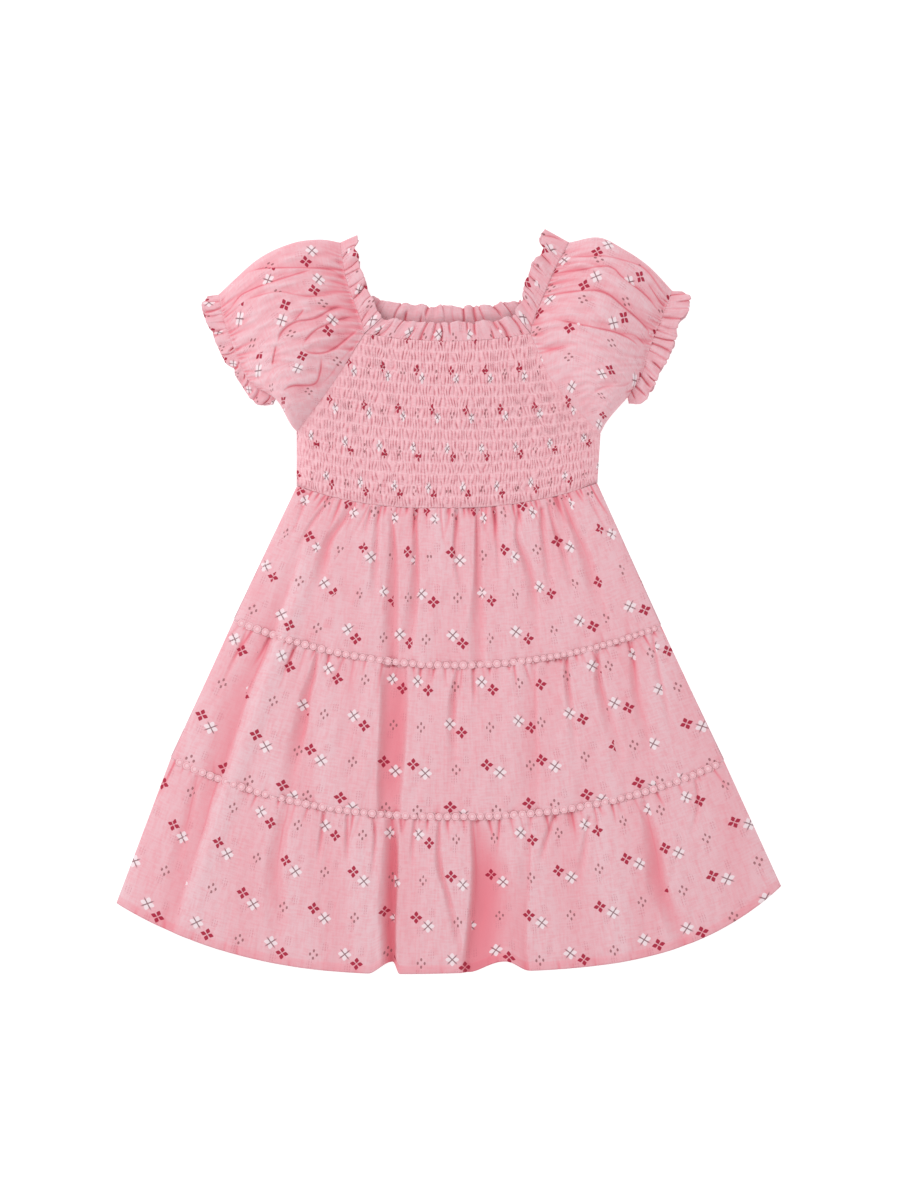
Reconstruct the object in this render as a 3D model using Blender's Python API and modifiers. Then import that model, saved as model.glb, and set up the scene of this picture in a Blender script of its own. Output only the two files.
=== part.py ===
"""A toddler's dress laid flat on its back, front side up, as faceted solids.

Every piece that is cut and sewn is one object: a shirred bodice, two raglan puff
sleeves, the ruffles above the neck and cuff elastics, a skirt of three gathered
tiers and the picot trim over its two tier seams. +X is the right of the picture
of the dress, +Y runs from the hem to the neck, and the back rests on z = 0.
Sizes are in millimetres, and turn into metres where the meshes are made.
"""

import math
from collections import namedtuple

import bmesh
import bpy

MM = 0.001
COLLECTION = "toddler_dress"

# ---- cloth ----------------------------------------------------------------
WALL = 1.4  # the cloth's wall
RUFFLE_WALL = 1.2
SEAM_GAP = 0.3
BACK_TOP = WALL  # the back lies on the surface
FRONT_FLOOR = BACK_TOP + SEAM_GAP  # the lowest that front cloth lies
SIDE_TOP = FRONT_FLOOR + WALL  # the front's outer face at a side seam

# ---- seams across the dress -----------------------------------------------
# An arc runs from its left end to its right end and sags to middle_y. A higher
# power keeps the middle flat and turns up later.
Arc = namedtuple("Arc", "left_x left_y right_x right_y middle_y power_left power_right")
WAIST = Arc(-106.4, 80.5, 103.6, 82.6, 65.1, 2.4, 2.4)
TIER_SEAM_1 = Arc(-150.5, -13.3, 148.4, -17.5, -44.8, 2.0, 2.0)
TIER_SEAM_2 = Arc(-194.6, -109.9, 192.5, -112.0, -150.5, 2.3, 2.3)
HEM = Arc(-232.7, -211.4, 232.4, -199.5, -259.7, 2.6, 3.7)
SKIRT_ARCS = (WAIST, TIER_SEAM_1, TIER_SEAM_2, HEM)
BACK_HEM_RISE = 8.5  # the back's hem hangs this much higher at its middle

# The front hem is drawn up at its two deepest folds.
Lift = namedtuple("Lift", "x half_width rise")
HEM_LIFTS = (Lift(-39.5, 13.0, 8.0), Lift(43.0, 17.0, 6.5))

# ---- skirt ----------------------------------------------------------------
TIER_NAMES = ("upper", "middle", "lower")
TIER_GATHERS = (26, 27, 27)
TIER_ROWS = (0.0, 0.07, 0.16, 0.28, 0.42, 0.57, 0.72, 0.87, 1.0)
TIER_INNER_ROWS = (0.0, 0.25, 0.5, 0.75, 1.0)
GATHER_HEIGHT = 0.75
GATHER_SHORTEST = 0.18  # as shares of a tier's depth
GATHER_LONGEST = 0.44
EDGE_POWER = 7.0  # how late the front turns down to its side seams
# How far the front stands above its side seams, down the skirt. Down is 0 at the
# waist, 1 and 2 at the tier seams and 3 at the hem.
Puff = namedtuple("Puff", "down height")
SKIRT_PUFF = (
    Puff(0.0, 4.2),
    Puff(0.5, 5.6),
    Puff(1.0, 5.2),
    Puff(1.5, 6.8),
    Puff(2.0, 6.4),
    Puff(2.5, 8.0),
    Puff(3.0, 8.0),
)
# Folds that run down the skirt, each a few knots. A negative depth is a ridge.
Knot = namedtuple("Knot", "down x half_width depth")
FOLDS = {
    "upper_left": (Knot(0.0, -75, 5, 2.2), Knot(0.45, -84, 6, 3.0), Knot(0.8, -90, 7, 0)),
    "upper_by_deep": (Knot(0.02, -50, 4, 2.0), Knot(0.4, -48, 5, 2.5), Knot(0.7, -47, 5, 0)),
    "deep_left": (
        Knot(0.1, -40, 4, 0),
        Knot(0.35, -40.5, 5, 3.6),
        Knot(1.0, -44, 8, 5.2),
        Knot(2.0, -40, 11, 6.6),
        Knot(3.0, -41, 14, 8.0),
    ),
    "upper_middle": (Knot(0.05, -22, 4, 1.5), Knot(0.5, -24, 5, 2.5), Knot(0.95, -26, 6, 0)),
    "upper_short": (Knot(0.0, 5.6, 4, 1.8), Knot(0.2, 6.5, 4, 1.8), Knot(0.45, 7, 5, 0)),
    "deep_right": (
        Knot(0.25, 21, 4, 0),
        Knot(0.5, 21, 6, 4.2),
        Knot(1.0, 21, 8, 4.5),
        Knot(1.9, 18, 9, 4.2),
        Knot(2.45, 27, 15, 6.4),
        Knot(3.0, 33, 18, 6.0),
    ),
    "upper_right_1": (Knot(0.0, 49.7, 4, 1.8), Knot(0.4, 57, 5, 2.6), Knot(0.75, 62, 6, 0)),
    "upper_right_2": (Knot(0.0, 68, 4, 1.8), Knot(0.4, 71, 5, 2.4), Knot(0.7, 73, 5, 0)),
    "upper_right_3": (
        Knot(0.0, 82, 4, 2.0),
        Knot(0.35, 92, 6, 3.6),
        Knot(0.7, 104, 7, 3.0),
        Knot(1.0, 112, 7, 0),
    ),
    "ridge_left": (
        Knot(0.3, -107, 8, 0),
        Knot(0.8, -120, 9, -2.5),
        Knot(2.1, -163, 11, -3.0),
        Knot(3.0, -191, 12, -2.0),
    ),
    "long_left": (
        Knot(0.95, -97, 5, 1.0),
        Knot(1.4, -103, 6, 3.0),
        Knot(1.95, -115, 8, 4.5),
        Knot(2.3, -117, 10, 6.0),
        Knot(3.0, -125, 10, 0.5),
    ),
    "middle_1": (Knot(1.0, 8.4, 5, 2.0), Knot(1.35, 4, 5, 3.0), Knot(1.8, 5, 6, 0)),
    "middle_2": (Knot(1.0, 57, 5, 1.0), Knot(1.25, 58, 5, 1.6), Knot(1.6, 59, 6, 0)),
    "middle_3": (Knot(1.0, 82, 5, 1.5), Knot(1.3, 86, 5, 2.2), Knot(1.7, 91, 6, 0)),
    "middle_4": (Knot(0.98, 104, 6, 3.0), Knot(1.4, 112, 7, 4.5), Knot(1.95, 122, 8, 0)),
    "middle_5": (Knot(0.98, 131, 6, 2.0), Knot(1.5, 136, 7, 4.0), Knot(2.05, 141, 8, 0)),
    "middle_6": (Knot(0.9, 146, 5, 0.8), Knot(1.4, 152, 6, 3.6), Knot(2.0, 160, 8, 0)),
    "lower_left_1": (Knot(2.0, -177, 6, 1.2), Knot(2.45, -184, 8, 3.0), Knot(3.0, -199, 9, 0)),
    "lower_left_2": (Knot(2.0, -141, 6, 1.4), Knot(2.35, -154, 8, 3.0), Knot(2.9, -162, 9, 0)),
    "lower_crease": (
        Knot(2.03, -5.3, 3.5, 1.6),
        Knot(2.4, -3, 4.5, 2.8),
        Knot(2.75, 6, 5, 2.6),
        Knot(3.0, 14, 5, 0.5),
    ),
    "lower_short": (Knot(2.0, 65, 5, 1.8), Knot(2.15, 67, 5, 1.8), Knot(2.4, 70, 6, 0)),
    "lower_right": (
        Knot(1.98, 138, 7, 1.6),
        Knot(2.4, 148, 12, 5.0),
        Knot(2.75, 158, 13, 4.5),
        Knot(3.0, 167, 12, 1.5),
    ),
}
BACK_COLUMNS = 24

# ---- trim over the tier seams ---------------------------------------------
TRIM_WIDTH = 3.8
TRIM_THICKNESS = 0.9
TRIM_CLEARANCE = 0.4
TRIM_COLUMNS = 30

# ---- bodice ---------------------------------------------------------------
NECK_LINE = Arc(-58.6, 187.0, 56.7, 187.0, 181.6, 2.0, 2.0)
BACK_NECK_LINE = Arc(-62.3, 199.5, 59.5, 198.1, 193.2, 2.0, 2.0)
UNDERARM_SHARE = 0.64  # of the bodice's depth from the neck line to the waist
BODICE_PUFF = 4.2
BODICE_WALL = 1.9
SHIRRED_CHANNELS = 15
PUCKERS = 48
PUCKER_HEIGHT = 0.8
CHANNEL_HEIGHT = 1.3  # the cloth between two elastic lines stands this proud
ELASTIC_COLUMNS = 26
BODICE_INNER_COLUMNS = 16
BODICE_INNER_ROWS = 10

# ---- sleeves --------------------------------------------------------------
# The outline of each sleeve as it lies: neck edge from the shoulder fold to the
# neck corner, raglan seam to the underarm, shoulder fold, cuff and underarm.
SleeveCut = namedtuple("SleeveCut", "neck_edge raglan shoulder cuff underarm creases")
Crease = namedtuple("Crease", "points half_width depth")
LEFT_SLEEVE = SleeveCut(
    neck_edge=((-75.3, 250.6), (-74.2, 238.7), (-70.7, 221.9), (-62.3, 199.5), (-58.6, 187.0)),
    raglan=((-58.6, 187.0), (-81.5, 151.5), (-106.4, 118.3)),
    shoulder=((-75.3, 250.6), (-90.3, 252.7), (-109.9, 249.9), (-133.7, 238.7), (-161.0, 214.5)),
    cuff=((-161.0, 214.5), (-157.5, 196.7), (-147.7, 170.1), (-138.0, 151.5), (-120.4, 142.1)),
    underarm=((-106.4, 118.3), (-111.3, 124.5), (-120.4, 142.1)),
    creases=(
        Crease(((-139, 227), (-121, 231), (-105, 227), (-81, 217)), 6, 1.8),
        Crease(((-79, 206), (-105, 195), (-116, 188), (-120, 174)), 7, 3.0),
        Crease(((-89, 188), (-101, 180), (-92, 167), (-92, 153)), 7, 3.6),
        Crease(((-109, 151), (-118, 144)), 7, 2.5),
    ),
)
RIGHT_SLEEVE = SleeveCut(
    neck_edge=((83.3, 250.6), (72.8, 230.3), (67.9, 218.4), (59.5, 198.1), (56.7, 187.0)),
    raglan=((56.7, 187.0), (73.0, 152.0), (105.7, 116.9)),
    shoulder=((83.3, 250.6), (104.3, 254.1), (121.1, 246.4), (139.3, 234.2), (156.1, 217.0)),
    cuff=((156.1, 217.0), (151.2, 203.7), (140.7, 177.8), (134.0, 157.0), (124.6, 142.1)),
    underarm=((105.7, 116.9), (111.3, 126.7), (124.6, 142.1)),
    creases=(
        Crease(((74, 218), (109, 230)), 6, 2.2),
        Crease(((97, 218), (125, 201)), 6, 2.4),
        Crease(((127, 223), (143, 207), (148, 195)), 8, 3.4),
        Crease(((113, 186), (134, 176)), 6, 2.2),
        Crease(((88, 150), (102, 132)), 7, 2.8),
    ),
)
SLEEVE_PUFF = 24.0  # the highest point of a sleeve
SLEEVE_END = 8.2  # its height at the neck edge and at the cuff
SLEEVE_PUFF_POWER = 0.75
SLEEVE_ROUNDNESS = 2.6
SLEEVE_COLUMNS = 30
SLEEVE_ROWS = 9
SLEEVE_INNER_ROWS = 5
NECK_COLUMNS = 14  # of the sleeve's columns, those that end at the neck edge
NECK_SHARE = NECK_COLUMNS / SLEEVE_COLUMNS
# Shares of the way round the back, from the underarm to the shoulder fold.
SLEEVE_BACK = (0.03, 0.08, 0.14, 0.21, 0.29, 0.37, 0.45, 1.0 - NECK_SHARE, 0.65, 0.8, 0.92, 0.97)
SLEEVE_REST = 0.2  # the back leaves the surface this near its folds
RAGLAN_GAP = 0.55  # measured along X, so that a slanting seam is a seam gap wide
NECK_GATHERS = 7
NECK_GATHER_REACH = 0.4  # share of the sleeve's length
CUFF_GATHERS = 9
CUFF_GATHER_REACH = 0.3
SLEEVE_GATHER_HEIGHT = 0.7

# ---- ruffles --------------------------------------------------------------
POINTS_A_WAVE = 4
ROOT_SWING = 0.35  # the waves' half height at the elastic
ROOT_GAP = 0.75  # from the elastic, so that the tilted wall ends a seam gap from it
FRONT_SWING = 1.9  # and at a front ruffle's free edge
BACK_SWING = 1.0
BACK_EDGE_Z = 1.9
NECK_RUFFLE_WAVES = 20
BACK_RUFFLE_WAVES = 12
SIDE_FRONT_WAVES = 7
SIDE_BACK_WAVES = 6
CUFF_FRONT_WAVES = 9
CUFF_BACK_WAVES = 5
FRONT_RUFFLE_EDGE = ((-46.9, 197.7), (-12.6, 194.9), (31.5, 196.3), (45.9, 200.6))
BACK_RUFFLE_EDGE = ((-54.2, 213.5), (-34.3, 208.6), (7.0, 206.5), (39.9, 208.9), (50.1, 211.4))
# A side ruffle's free edge, from the front corner of the neck to the shoulder tip, and
# the shares of its root and its edge that lie below the back ruffle's end.
SideRuffle = namedtuple("SideRuffle", "edge root_stop edge_stop start")
LEFT_SIDE_RUFFLE = SideRuffle(
    edge=((-46.9, 197.7), (-53.6, 213.5), (-60.9, 231.7), (-64.4, 243.6), (-63.7, 254.8)),
    root_stop=0.225,
    edge_stop=0.305,
    start=0.0,
)
RIGHT_SIDE_RUFFLE = SideRuffle(
    edge=((45.9, 200.6), (50.1, 210.7), (55.0, 226.8), (62.5, 241.0), (65.8, 259.7)),
    root_stop=0.195,
    edge_stop=0.205,
    start=1.3,
)
LEFT_CUFF_EDGE = ((-171.8, 212.5), (-169.6, 193.5), (-157.0, 167.0), (-144.0, 147.0), (-121.5, 135.5))
RIGHT_CUFF_EDGE = ((165.6, 216.0), (166.5, 203.0), (158.8, 176.0), (145.5, 149.5), (126.5, 136.5))

# ---- colours (linear) -----------------------------------------------------
COTTON_PINK = (0.80, 0.43, 0.48, 1.0)
SHIRRED_PINK = (0.76, 0.38, 0.43, 1.0)
TRIM_PINK = (0.87, 0.52, 0.56, 1.0)
COTTON_ROUGHNESS = 0.9


# ---- small sums -----------------------------------------------------------
def mix(a, b, t):
    return a + (b - a) * t


def mix_points(a, b, t):
    return tuple(mix(p, q, t) for p, q in zip(a, b))


def smooth(t):
    t = min(max(t, 0.0), 1.0)
    return t * t * (3.0 - 2.0 * t)


def bell(distance):
    """1 at 0, falling smoothly to 0 at a distance of 1."""
    if abs(distance) >= 1.0:
        return 0.0
    return (1.0 - distance * distance) ** 2


def spaced(count):
    return [k / count for k in range(count + 1)]


def curve_through(points, steps=10):
    """A dense Catmull-Rom curve through the points."""
    dense = [points[0]]
    for k in range(len(points) - 1):
        p1, p2 = points[k], points[k + 1]
        p0 = points[k - 1] if k else tuple(2 * a - b for a, b in zip(p1, p2))
        p3 = points[k + 2] if k + 2 < len(points) else tuple(2 * b - a for a, b in zip(p1, p2))
        for step in range(1, steps + 1):
            t = step / steps
            dense.append(
                tuple(
                    0.5
                    * (
                        2 * b
                        + (c - a) * t
                        + (2 * a - 5 * b + 4 * c - d) * t**2
                        + (3 * b - a - 3 * c + d) * t**3
                    )
                    for a, b, c, d in zip(p0, p1, p2, p3)
                )
            )
    return dense


def along(dense, share):
    """The point at a share of a dense curve's length."""
    lengths = [0.0]
    for a, b in zip(dense, dense[1:]):
        lengths.append(lengths[-1] + math.dist(a, b))
    wanted = min(max(share, 0.0), 1.0) * lengths[-1]
    for k in range(1, len(dense)):
        if wanted <= lengths[k]:
            part = (wanted - lengths[k - 1]) / max(lengths[k] - lengths[k - 1], 1e-9)
            return mix_points(dense[k - 1], dense[k], part)
    return dense[-1]


def on_arc(arc, across):
    """A point of a seam. across runs from -1 at the left to 1 at the right."""
    share = (across + 1.0) / 2.0
    power = arc.power_left if across < 0 else arc.power_right
    sag = arc.middle_y - (arc.left_y + arc.right_y) / 2.0
    y = mix(arc.left_y, arc.right_y, share) + sag * (1.0 - abs(across) ** power)
    return mix(arc.left_x, arc.right_x, share), y


def from_table(rows, at):
    """The second column of a two-column table, eased between its rows."""
    for low, high in zip(rows, rows[1:]):
        if at <= high[0]:
            return mix(low[1], high[1], smooth((at - low[0]) / (high[0] - low[0])))
    return rows[-1][1]


# ---- meshes ---------------------------------------------------------------
Row = namedtuple("Row", "at points")  # points holds (place along the row, (x, y, z))


def zip_rows(faces, first, second):
    """Triangles between two rows of (place, vertex), whose counts may differ."""
    i = j = 0
    while i < len(first) - 1 or j < len(second) - 1:
        first_is_next = j == len(second) - 1 or (
            i < len(first) - 1 and first[i + 1][0] <= second[j + 1][0] + 1e-9
        )
        if first_is_next:
            faces.append((first[i][1], first[i + 1][1], second[j][1]))
            i += 1
        else:
            faces.append((first[i][1], second[j + 1][1], second[j][1]))
            j += 1


def add_object(name, verts, faces, color):
    mesh = bpy.data.meshes.new(name)
    mesh.from_pydata([tuple(c * MM for c in v) for v in verts], [], faces)
    body = bmesh.new()
    body.from_mesh(mesh)
    bmesh.ops.recalc_face_normals(body, faces=body.faces)
    body.to_mesh(mesh)
    body.free()
    mesh.shade_smooth()
    material = bpy.data.materials.new(name)
    material.use_nodes = True
    shader = material.node_tree.nodes["Principled BSDF"]
    shader.inputs["Base Color"].default_value = color
    shader.inputs["Roughness"].default_value = COTTON_ROUGHNESS
    shader.inputs["Metallic"].default_value = 0.0
    mesh.materials.append(material)
    thing = bpy.data.objects.new(name, mesh)
    bpy.data.collections[COLLECTION].objects.link(thing)
    return thing


def add_wall(name, outer, inner, color, ring=0.0):
    """A closed wall between its outer and inner rows. ring is the length of a closed
    row in its own places, and 0 for a sheet, whose two ends are closed too."""
    verts, faces, sides = [], [], []
    for face in (outer, inner):
        rows = []
        for row in face:
            marks = []
            for place, point in row.points:
                marks.append((place, len(verts)))
                verts.append(point)
            if ring:
                marks.append((marks[0][0] + ring, marks[0][1]))
            rows.append(marks)
        for first, second in zip(rows, rows[1:]):
            zip_rows(faces, first, second)
        sides.append(rows)
    outside, inside = sides
    zip_rows(faces, outside[0], inside[0])
    zip_rows(faces, outside[-1], inside[-1])
    if not ring:
        for end in (0, -1):
            outer_end = [(row.at, marks[end][1]) for row, marks in zip(outer, outside)]
            inner_end = [(row.at, marks[end][1]) for row, marks in zip(inner, inside)]
            zip_rows(faces, outer_end, inner_end)
    return add_object(name, verts, faces, color)


def add_cloth(name, rows, color, closed=False):
    """An open sheet of equal rows, made a wall by Solidify."""
    verts = [point for row in rows for point in row]
    count = len(rows[0])
    spans = count if closed else count - 1
    faces = []
    for r in range(len(rows) - 1):
        for c in range(spans):
            after = (c + 1) % count
            faces.append(
                (r * count + c, r * count + after, (r + 1) * count + after, (r + 1) * count + c)
            )
    thing = add_object(name, verts, faces, color)
    shell = thing.modifiers.new("wall", "SOLIDIFY")
    shell.thickness = RUFFLE_WALL * MM
    shell.offset = 0.0
    return thing


# ---- skirt ----------------------------------------------------------------
def skirt_xy(across, down):
    """A point of the skirt as it lies, before its hem is drawn up."""
    tier = min(int(down), len(SKIRT_ARCS) - 2)
    head = on_arc(SKIRT_ARCS[tier], across)
    foot = on_arc(SKIRT_ARCS[tier + 1], across)
    return mix_points(head, foot, down - tier)


def hem_lift(x, down):
    rise = sum(lift.rise * bell((x - lift.x) / lift.half_width) for lift in HEM_LIFTS)
    return rise * smooth(down - 2.0) ** 2


def fold_depth(x, down):
    """How far the folds take the skirt's front down at a place."""
    depth = 0.0
    for knots in FOLDS.values():
        if not knots[0].down <= down <= knots[-1].down:
            continue
        for a, b in zip(knots, knots[1:]):
            if down <= b.down:
                share = (down - a.down) / (b.down - a.down)
                centre = mix(a.x, b.x, share)
                half_width = mix(a.half_width, b.half_width, share)
                depth += mix(a.depth, b.depth, smooth(share)) * bell((x - centre) / half_width)
                break
    return depth


def skirt_height(across, down):
    """The outer face of the skirt's front, without its gathers."""
    x = skirt_xy(across, down)[0]
    stand = from_table(SKIRT_PUFF, down) - fold_depth(x, down)
    return SIDE_TOP + max(stand, 0.0) * (1.0 - abs(across) ** EDGE_POWER)


def gather_reach(tier, number):
    """The share of a tier that one gather runs down, uneven from one to the next."""
    unevenness = 0.5 + 0.5 * math.sin(12.9 * number + 7.1 * tier)
    return mix(GATHER_SHORTEST, GATHER_LONGEST, unevenness)


def gather_swell(tier, column, share):
    """Half the height of the gathers at a column, at a share of the tier's depth."""
    reach = gather_reach(tier, column // 2)
    return GATHER_HEIGHT * (1.0 - smooth(share / reach))


def tier_columns(tier):
    """Places across a tier, unevenly spaced, one for each crest and each hollow."""
    count = 2 * TIER_GATHERS[tier]
    places = []
    for column in range(count + 1):
        nudge = 0.5 * math.sin(1.7 * column + 2.3 * tier) if 0 < column < count else 0.0
        places.append(-1.0 + 2.0 * (column + 0.5 * nudge) / count)
    return places


def within_tier(tier, share):
    """Down the skirt, kept half a seam gap from the tier's two seams."""
    depth = SKIRT_ARCS[tier].middle_y - SKIRT_ARCS[tier + 1].middle_y
    margin = 0.5 * SEAM_GAP / depth
    return tier + mix(margin, 1.0 - margin, share)


def tier_front(tier):
    columns = tier_columns(tier)
    outer, inner = [], []
    for share in TIER_ROWS:
        down = within_tier(tier, share)
        points = []
        for column, across in enumerate(columns):
            x, y = skirt_xy(across, down)
            swell = gather_swell(tier, column, share) * (-1.0) ** column
            z = skirt_height(across, down) + swell * (1.0 - abs(across) ** EDGE_POWER)
            points.append((across, (x, y + hem_lift(x, down), max(z, SIDE_TOP))))
        outer.append(Row(share, points))
    step = TIER_INNER_ROWS[1] / 2.0
    for share in TIER_INNER_ROWS:
        down = within_tier(tier, share)
        near = [within_tier(tier, min(max(share + k * step, 0.0), 1.0)) for k in (-1, -0.5, 0, 0.5, 1)]
        points = []
        for column, across in enumerate(columns):
            x, y = skirt_xy(across, down)
            lowest = min(skirt_height(across, place) for place in near)
            z = lowest - WALL - gather_swell(tier, column, max(share - step, 0.0))
            points.append((across, (x, y + hem_lift(x, down), max(z, FRONT_FLOOR))))
        inner.append(Row(share, points))
    add_wall(f"skirt_{TIER_NAMES[tier]}_front", outer, inner, COTTON_PINK)


def flat_panel(name, rows, thickness, color):
    """A flat panel on the surface, from rows of (x, y)."""
    faces = []
    for z in (thickness, 0.0):
        face = []
        for number, row in enumerate(rows):
            count = len(row) - 1
            points = [(k / count, (x, y, z)) for k, (x, y) in enumerate(row)]
            face.append(Row(number, points))
        faces.append(face)
    add_wall(name, faces[0], faces[1], color)


def back_row(down, shift_y):
    """A row across the skirt's back, moved along Y."""
    row = []
    for share in spaced(BACK_COLUMNS):
        across = 2.0 * share - 1.0
        x, y = skirt_xy(across, down)
        rise = BACK_HEM_RISE * smooth(down - 2.0) * (1.0 - abs(across) ** 3)
        row.append((x, y + shift_y + rise))
    return row


def tier_back(tier):
    """The back of a tier, with room for the trim where it has one."""
    beside_trim = TRIM_WIDTH / 2.0 + SEAM_GAP
    head_room = beside_trim if tier else SEAM_GAP / 2.0
    foot_room = beside_trim if tier < 2 else 0.0
    rows = [back_row(tier, -head_room), back_row(tier + 1, foot_room)]
    flat_panel(f"skirt_{TIER_NAMES[tier]}_back", rows, BACK_TOP, COTTON_PINK)


# ---- trim -----------------------------------------------------------------
def front_trim(name, seam):
    """The trim on the front, from the skirt's own points, moved out."""
    columns = [2.0 * share - 1.0 for share in spaced(TRIM_COLUMNS)]
    reach = 1.0 / TRIM_COLUMNS
    faces = ([], [])
    for side in (1.0, -1.0):
        tops, undersides = [], []
        for across in columns:
            x, y = on_arc(SKIRT_ARCS[seam], across)
            near = [min(max(across + k * reach, -1.0), 1.0) for k in (-2, -1, 0, 1, 2)]
            skirt = max(skirt_height(place, seam + k * 0.03) for place in near for k in (-1, 0, 1))
            under = skirt + GATHER_HEIGHT + TRIM_CLEARANCE
            edge_y = y + side * TRIM_WIDTH / 2.0
            tops.append((across, (x, edge_y, under + TRIM_THICKNESS)))
            undersides.append((across, (x, edge_y, under)))
        faces[0].append(Row(-side, tops))
        faces[1].append(Row(-side, undersides))
    add_wall(name, faces[0], faces[1], TRIM_PINK)


def back_trim(name, seam):
    rows = [back_row(seam, TRIM_WIDTH / 2.0), back_row(seam, -TRIM_WIDTH / 2.0)]
    flat_panel(name, rows, BACK_TOP, TRIM_PINK)


# ---- bodice ---------------------------------------------------------------
def bodice_end(cut, side, share):
    """Where a bodice row ends, a seam gap inside the sleeve or at the side seam."""
    raglan = curve_through(cut.raglan)
    if share <= UNDERARM_SHARE:
        x, y = along(raglan, share / UNDERARM_SHARE)
    else:
        waist = (WAIST.left_x, WAIST.left_y) if side < 0 else (WAIST.right_x, WAIST.right_y)
        part = (share - UNDERARM_SHARE) / (1.0 - UNDERARM_SHARE)
        x, y = mix_points(raglan[-1], waist, part)
    return x - side * RAGLAN_GAP, y


def bodice_arc(share):
    left, right = bodice_end(LEFT_SLEEVE, -1, share), bodice_end(RIGHT_SLEEVE, 1, share)
    middle = mix(NECK_LINE.middle_y, WAIST.middle_y, share)
    power = mix(NECK_LINE.power_left, WAIST.power_left, share)
    return Arc(left[0], left[1], right[0], right[1], middle, power, power)


def bodice_height(across, share):
    """The outer face of the bodice's front under its puckers."""
    side_seam = smooth((share - 0.42) / 0.28)
    return SIDE_TOP + BODICE_PUFF * (1.0 - side_seam * abs(across) ** 6)


def bodice_depth(share):
    """A share of the bodice's depth, kept half a seam gap from its two seams."""
    margin = 0.5 * SEAM_GAP / (NECK_LINE.middle_y - WAIST.middle_y)
    return mix(margin, 1.0 - margin, share)


def bodice_front():
    """Elastic lines with few points, and puckered cloth standing between them."""
    outer, inner = [], []
    for number in range(2 * SHIRRED_CHANNELS + 1):
        share = bodice_depth(number / (2 * SHIRRED_CHANNELS))
        arc = bodice_arc(share)
        on_elastic = number % 2 == 0
        columns = spaced(ELASTIC_COLUMNS if on_elastic else 2 * PUCKERS)
        points = []
        for column, place in enumerate(columns):
            across = 2.0 * place - 1.0
            x, y = on_arc(arc, across)
            proud = 0.0
            if not on_elastic:
                proud = CHANNEL_HEIGHT - PUCKER_HEIGHT * (column % 2)
                proud *= 1.0 - abs(across) ** 12
            points.append((place, (x, y, bodice_height(across, share) + proud)))
        outer.append(Row(share, points))
    for place_down in spaced(BODICE_INNER_ROWS):
        share = bodice_depth(place_down)
        arc = bodice_arc(share)
        points = []
        for place in spaced(BODICE_INNER_COLUMNS):
            across = 2.0 * place - 1.0
            x, y = on_arc(arc, across)
            z = max(bodice_height(across, share) - BODICE_WALL, FRONT_FLOOR)
            points.append((place, (x, y, z)))
        inner.append(Row(share, points))
    add_wall("bodice_front", outer, inner, SHIRRED_PINK)


def bodice_back():
    """The back, whose neck line stands higher than the front's."""
    top = BACK_NECK_LINE._replace(
        left_x=BACK_NECK_LINE.left_x + RAGLAN_GAP, right_x=BACK_NECK_LINE.right_x - RAGLAN_GAP
    )
    arcs = [top] + [bodice_arc(bodice_depth(share)) for share in spaced(12)]
    rows = [[on_arc(arc, 2.0 * place - 1.0) for place in spaced(8)] for arc in arcs]
    flat_panel("bodice_back", rows, BACK_TOP, SHIRRED_PINK)


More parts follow.
